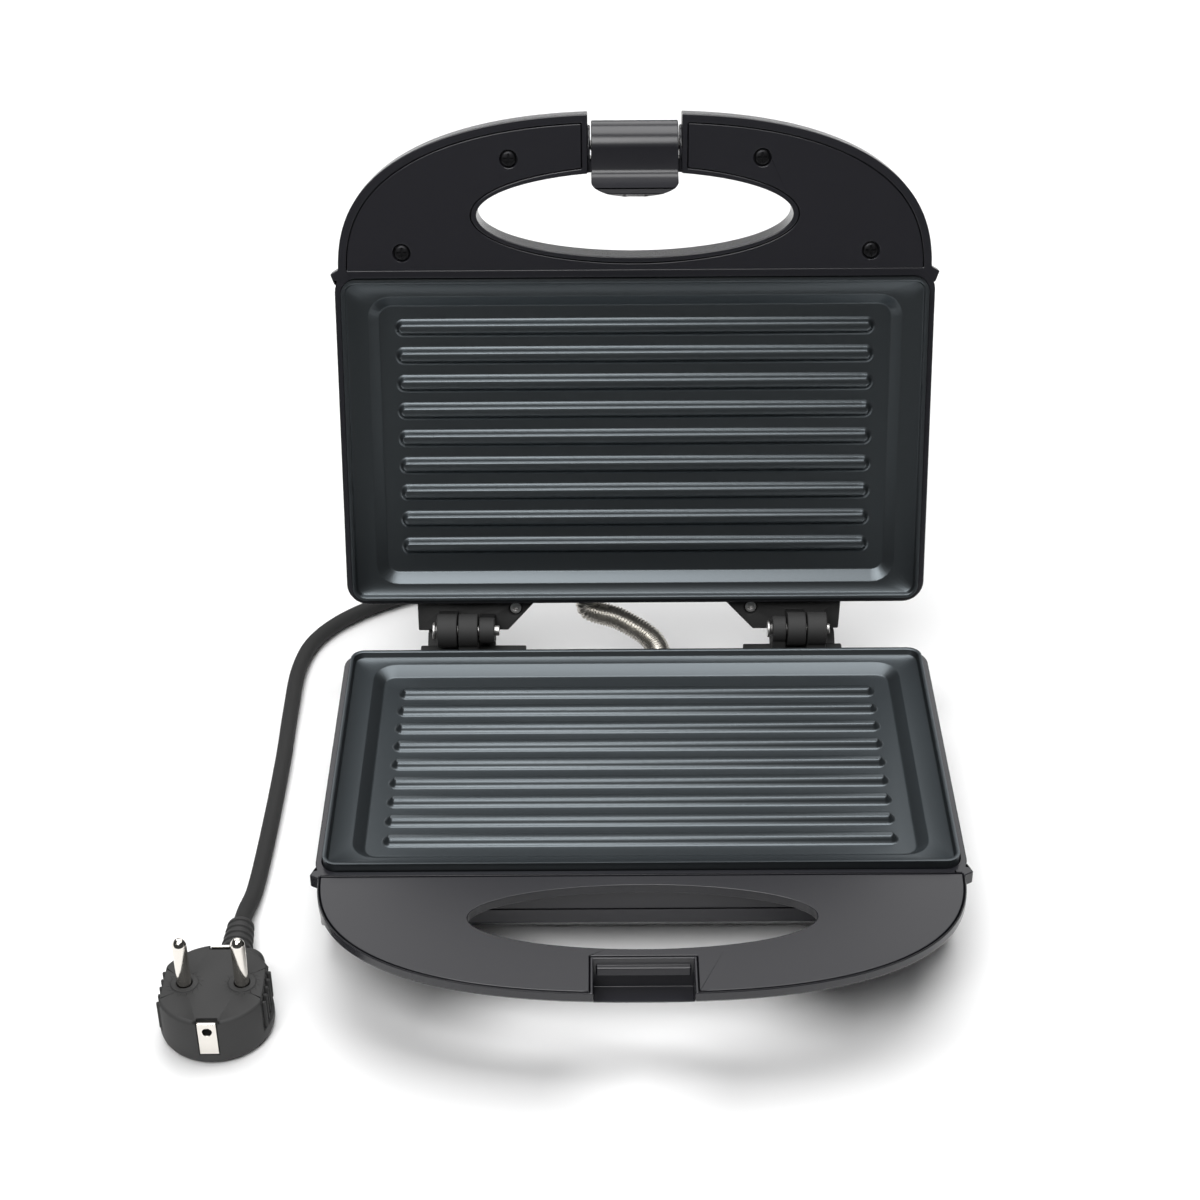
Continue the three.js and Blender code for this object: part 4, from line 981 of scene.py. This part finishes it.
class PressPlates(bpy.types.Operator):
    """Cast the two ribbed grill plates"""
    bl_idname = "press.plates"
    bl_label = "Grill plates"

    def execute(self, context):
        size = in_millimetres(context.scene.press_plate)
        for name, place, body in (("lower", BASE_PLACE, "base"), ("upper", LID_PLACE, "lid")):
            piece(f"{name}_plate", grill_plate(size), place, body, "coated_casting", [f"{name}_grill_plate"],
                  soft_angle=48)
        return {"FINISHED"}


# ---------------------------------------------------------------- hinges, conduit and latch
class PressHinges(bpy.types.Operator):
    """Finish the hinge brackets, their pins and their screws"""
    bl_idname = "press.hinges"
    bl_label = "Hinges"

    def execute(self, context):
        for side in ("left", "right"):
            refined(f"hinge_base_{side}", f"base_bracket_{side}", "base", "matte_black_plastic", 0.45)
            refined(f"hinge_lid_{side}", f"lid_bracket_{side}", "lid", "matte_black_plastic", 0.45)
            refined(f"hinge_pin_{side}", f"pivot_pin_{side}", "base", "steel", 0.25)
            refined(f"hinge_screw_{side}", f"bracket_screw_{side}", "lid", "steel", 0.2)
        return {"FINISHED"}


class PressConduit(bpy.types.Operator):
    """Wind the flexible steel conduit that carries the wires from the base to the lid"""
    bl_idname = "press.conduit"
    bl_label = "Conduit"

    def execute(self, context):
        points = [BASE_PLACE @ Vector(point) for point in CONDUIT_BASE]
        points += [LID_PLACE @ Vector((CONDUIT_LID[0], out + 2.4, CONDUIT_LID[1])) for out in (6, 0, -3)]
        line = smooth_line(points, 30)
        reached = [0.0]
        for a, b in zip(line, line[1:]):
            reached.append(reached[-1] + (b - a).length * 1000)
        total = reached[-1]
        outline = [(0, 0), (CONDUIT_RADIUS - 0.4, 0)]
        for ring in range(int(total / CONDUIT_PITCH)):
            start = ring * CONDUIT_PITCH
            outline += [(CONDUIT_RADIUS - 0.42, start + 0.12), (CONDUIT_RADIUS - 0.08, start + 0.32),
                        (CONDUIT_RADIUS, start + 0.55), (CONDUIT_RADIUS - 0.08, start + 0.85),
                        (CONDUIT_RADIUS - 0.42, start + 1.05)]
        outline += [(CONDUIT_RADIUS - 0.4, total), (0, total)]
        bm = spun(outline, 0, 0, 32)
        side = Vector((1, 0, 0))
        for vert in bm.verts:
            along = min(max(vert.co.z, 0), total)
            k = next((i for i, far in enumerate(reached[1:]) if far >= along), len(line) - 2)
            share = (along - reached[k]) / (reached[k + 1] - reached[k])
            ahead = (line[min(k + 2, len(line) - 1)] - line[max(k - 1, 0)]).normalized()
            across = (side - ahead * side.dot(ahead)).normalized()
            spot = line[k].lerp(line[k + 1], share)
            vert.co = spot + (across * vert.co.x + ahead.cross(across) * vert.co.y) / 1000
        bmesh.ops.recalc_face_normals(bm, faces=bm.faces)
        tube = piece("steel_conduit", bm, Matrix.Identity(4), "base", "wound_steel", ["wire_conduit"],
                     soft_angle=80)
        tube.parent = None
        del tube["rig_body"]
        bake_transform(tube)
        return {"FINISHED"}


def latch_body():
    """Swing latch: a rolled barrel on the axle with a tongue and a hook, round-ended in plan."""
    axle_y, axle_z = LATCH_AXLE

    def on_arc(radius, start, end, steps):
        turns = [math.radians(start + (end - start) * step / steps) for step in range(steps + 1)]
        return [(math.cos(turn) * radius, math.sin(turn) * radius) for turn in turns]

    points = on_arc(8.8, 195, 90, 24)
    points += [(7.6, 8.2), (9.0, 8.7), (10.0, 9.6), (10.6, 10.6), (13.0, 17.3), (15.2, 16.6), (16.6, 13.8),
               (13.8, 13.0), (12.6, 9.6), (11.6, 6.6), (9.4, 5.6)]
    points += on_arc(4.2, 68, -165, 20)
    body = side_view([(axle_y + back, axle_z + out) for back, out in points], -15.7, 15.7)
    bmesh.ops.recalc_face_normals(body, faces=body.faces)
    plan = disc(0, axle_y + 9.5, 16.7, 7.2, 96)
    for vert in plan.verts:
        if vert.co.y < axle_y + 9.49:
            vert.co.y = axle_y + 9.5 - (axle_y + 9.5 - vert.co.y) * 3
            vert.co.x = math.copysign(16.7, vert.co.x) if abs(vert.co.x) > 1e-3 else 0
    rounded = combined(body, [upright(plan, -40, 40)], "INTERSECT")
    return cut(rounded, rod_x(axle_y, axle_z, AXLE_BORE, -40, 40))


class PressLatch(bpy.types.Operator):
    """Make the swing latch and its axle"""
    bl_idname = "press.latch"
    bl_label = "Latch"

    def execute(self, context):
        piece("swing_latch", latch_body(), LID_PLACE, "latch", "gloss_black_plastic", ["latch"], soft=0.35)
        axle_y, axle_z = LATCH_AXLE
        piece("axle", rod_x(axle_y, axle_z, AXLE_RADIUS, -19, 19, 48, 0.4), LID_PLACE, "lid", "steel",
              ["latch_axle"])
        return {"FINISHED"}


# ---------------------------------------------------------------- screws, feet, lamps and inner parts
def cross_screw(x, y, top, head, thick, shank, tip, slot):
    """Pan-head screw with a crossed recess, pointing down."""
    outline = [(0, top), (head - 0.9, top), (head - 0.3, top - 0.2), (head, top - 0.6), (head, top - thick),
               (shank, top - thick), (shank, tip + 1), (0, tip)]
    body = spun(outline, x, y, 32)
    slotted = cut(body, block(x - slot, x + slot, y - 0.38, y + 0.38, top - thick * 0.6, top + 1))
    return cut(slotted, block(x - 0.38, x + 0.38, y - slot, y + slot, top - thick * 0.62, top + 1))


class PressScrews(bpy.types.Operator):
    """Drive the screws of the lid's handle cover and of both plates"""
    bl_idname = "press.screws"
    bl_label = "Screws"

    def execute(self, context):
        for number, (x, y) in enumerate(HANDLE_SCREWS, 1):
            top = FACE - 0.2
            piece(f"cover_screw_{number}", cross_screw(x, y, top, 2.9, 1, 1.3, top - 8.6, 1.8), LID_PLACE,
                  "lid", "dark_screw_steel", [f"handle_screw_{number}"])
        for number, (x, y) in enumerate(PLATE_SCREWS, 1):
            for body, plate, place, top in (("base", "lower", BASE_PLACE, 30),
                                            ("lid", "upper", LID_PLACE, 22.5)):
                upright_screw = cross_screw(x, y, top, 3.2, 2.2, 1.4, 12, 2.2)
                screw = turned(upright_screw, Matrix.Diagonal((1, 1, -1, 1)))
                bmesh.ops.recalc_face_normals(screw, faces=screw.faces)
                piece(f"{body}_screw_{number}", screw, place, body, "steel",
                      [f"{plate}_plate_screw_{number}"])
        return {"FINISHED"}


class PressFeet(bpy.types.Operator):
    """Fit the four rubber feet"""
    bl_idname = "press.feet"
    bl_label = "Feet"

    def execute(self, context):
        top = -34 - GAP
        for place, x, y in FEET:
            outline = [(0, top), (9, top), (9, top - 0.6), (8.6, -38), (8.1, -41.2), (7.6, -41.9),
                       (7.2, -42), (4.6, -42), (4.2, -41.8), (4, -41.3), (3.8, -40.6), (0, -40.5)]
            stem = rod_z(x, y, 3, top - 0.5, -33)
            piece(f"rubber_{place}", gathered([spun(outline, x, y, 48), stem]), BASE_PLACE, "base",
                  "black_rubber", [f"foot_{place}"])
        return {"FINISHED"}


class PressLamps(bpy.types.Operator):
    """Fit the pilot lamps' lenses and bulbs in the lid"""
    bl_idname = "press.lamps"
    bl_label = "Pilot lamps"

    def execute(self, context):
        for name, x, finish in LAMPS:
            outline = [(0, -36.6), (1.4, -36.5), (2.4, -36.3), (2.9, -35.9), (3, -35.3), (3, -33.25),
                       (4.4, -33.25), (4.4, -32.2), (3, -32.1), (0, -32.1)]
            piece(f"{name}_lens", spun(outline, x, LAMP_Y), LID_PLACE, "lid", finish, [f"{name}_lamp_lens"])
            refined(f"{name}_neon_lamp", f"{name}_bulb", "lid", "pale_insulator", 0.2)
        return {"FINISHED"}


class PressInnerParts(bpy.types.Operator):
    """Give the heat shields, heating elements and electrical parts their finishes"""
    bl_idname = "press.inner_parts"
    bl_label = "Inner parts"

    def execute(self, context):
        finishes = {"thermostat": "steel", "thermal_fuse": "pale_insulator",
                    "terminal_block": "pale_insulator"}
        for half in ("lower", "upper"):
            for part in ("heat_shield", "heating_element", "element_clamp"):
                finishes[f"{half}_{part}"] = "steel"
        for node, finish in finishes.items():
            mesh = frame["nodes"][node].data
            mesh.materials.clear()
            mesh.materials.append(bpy.data.materials[finish])
        return {"FINISHED"}


# ---------------------------------------------------------------- panel and running order
STEPS = (PressFinishes, PressStage, PressLead, PressHousings, PressPlates, PressHinges, PressConduit,
         PressLatch, PressScrews, PressFeet, PressLamps, PressInnerParts)


class PressPanel(bpy.types.Panel):
    bl_idname = "VIEW3D_PT_panini_press"
    bl_label = "Panini press"
    bl_space_type = "VIEW_3D"
    bl_region_type = "UI"
    bl_category = "Panini press"

    def draw(self, context):
        for step in STEPS:
            self.layout.operator(step.bl_idname)
        for name in GROUPS:
            box = self.layout.box()
            group = getattr(context.scene, name)
            for key in type(group).__annotations__:
                box.prop(group, key)


GROUPS = {"press_housing": HousingSizes, "press_plate": PlateSizes, "press_lead": LeadSizes,
          "press_finishes": FinishColours}
CLASSES = (*GROUPS.values(), *STEPS, PressPanel)


def register():
    for cls in CLASSES:
        bpy.utils.register_class(cls)
    for name, group in GROUPS.items():
        setattr(bpy.types.Scene, name, PointerProperty(type=group))


def unregister():
    for name in GROUPS:
        delattr(bpy.types.Scene, name)
    for cls in reversed(CLASSES):
        bpy.utils.unregister_class(cls)


def main():
    register()
    for step in STEPS:
        family, action = step.bl_idname.split(".")
        if getattr(getattr(bpy.ops, family), action)() != {"FINISHED"}:
            raise RuntimeError(f"{step.bl_label} did not finish")


if __name__ == "__main__":
    main()
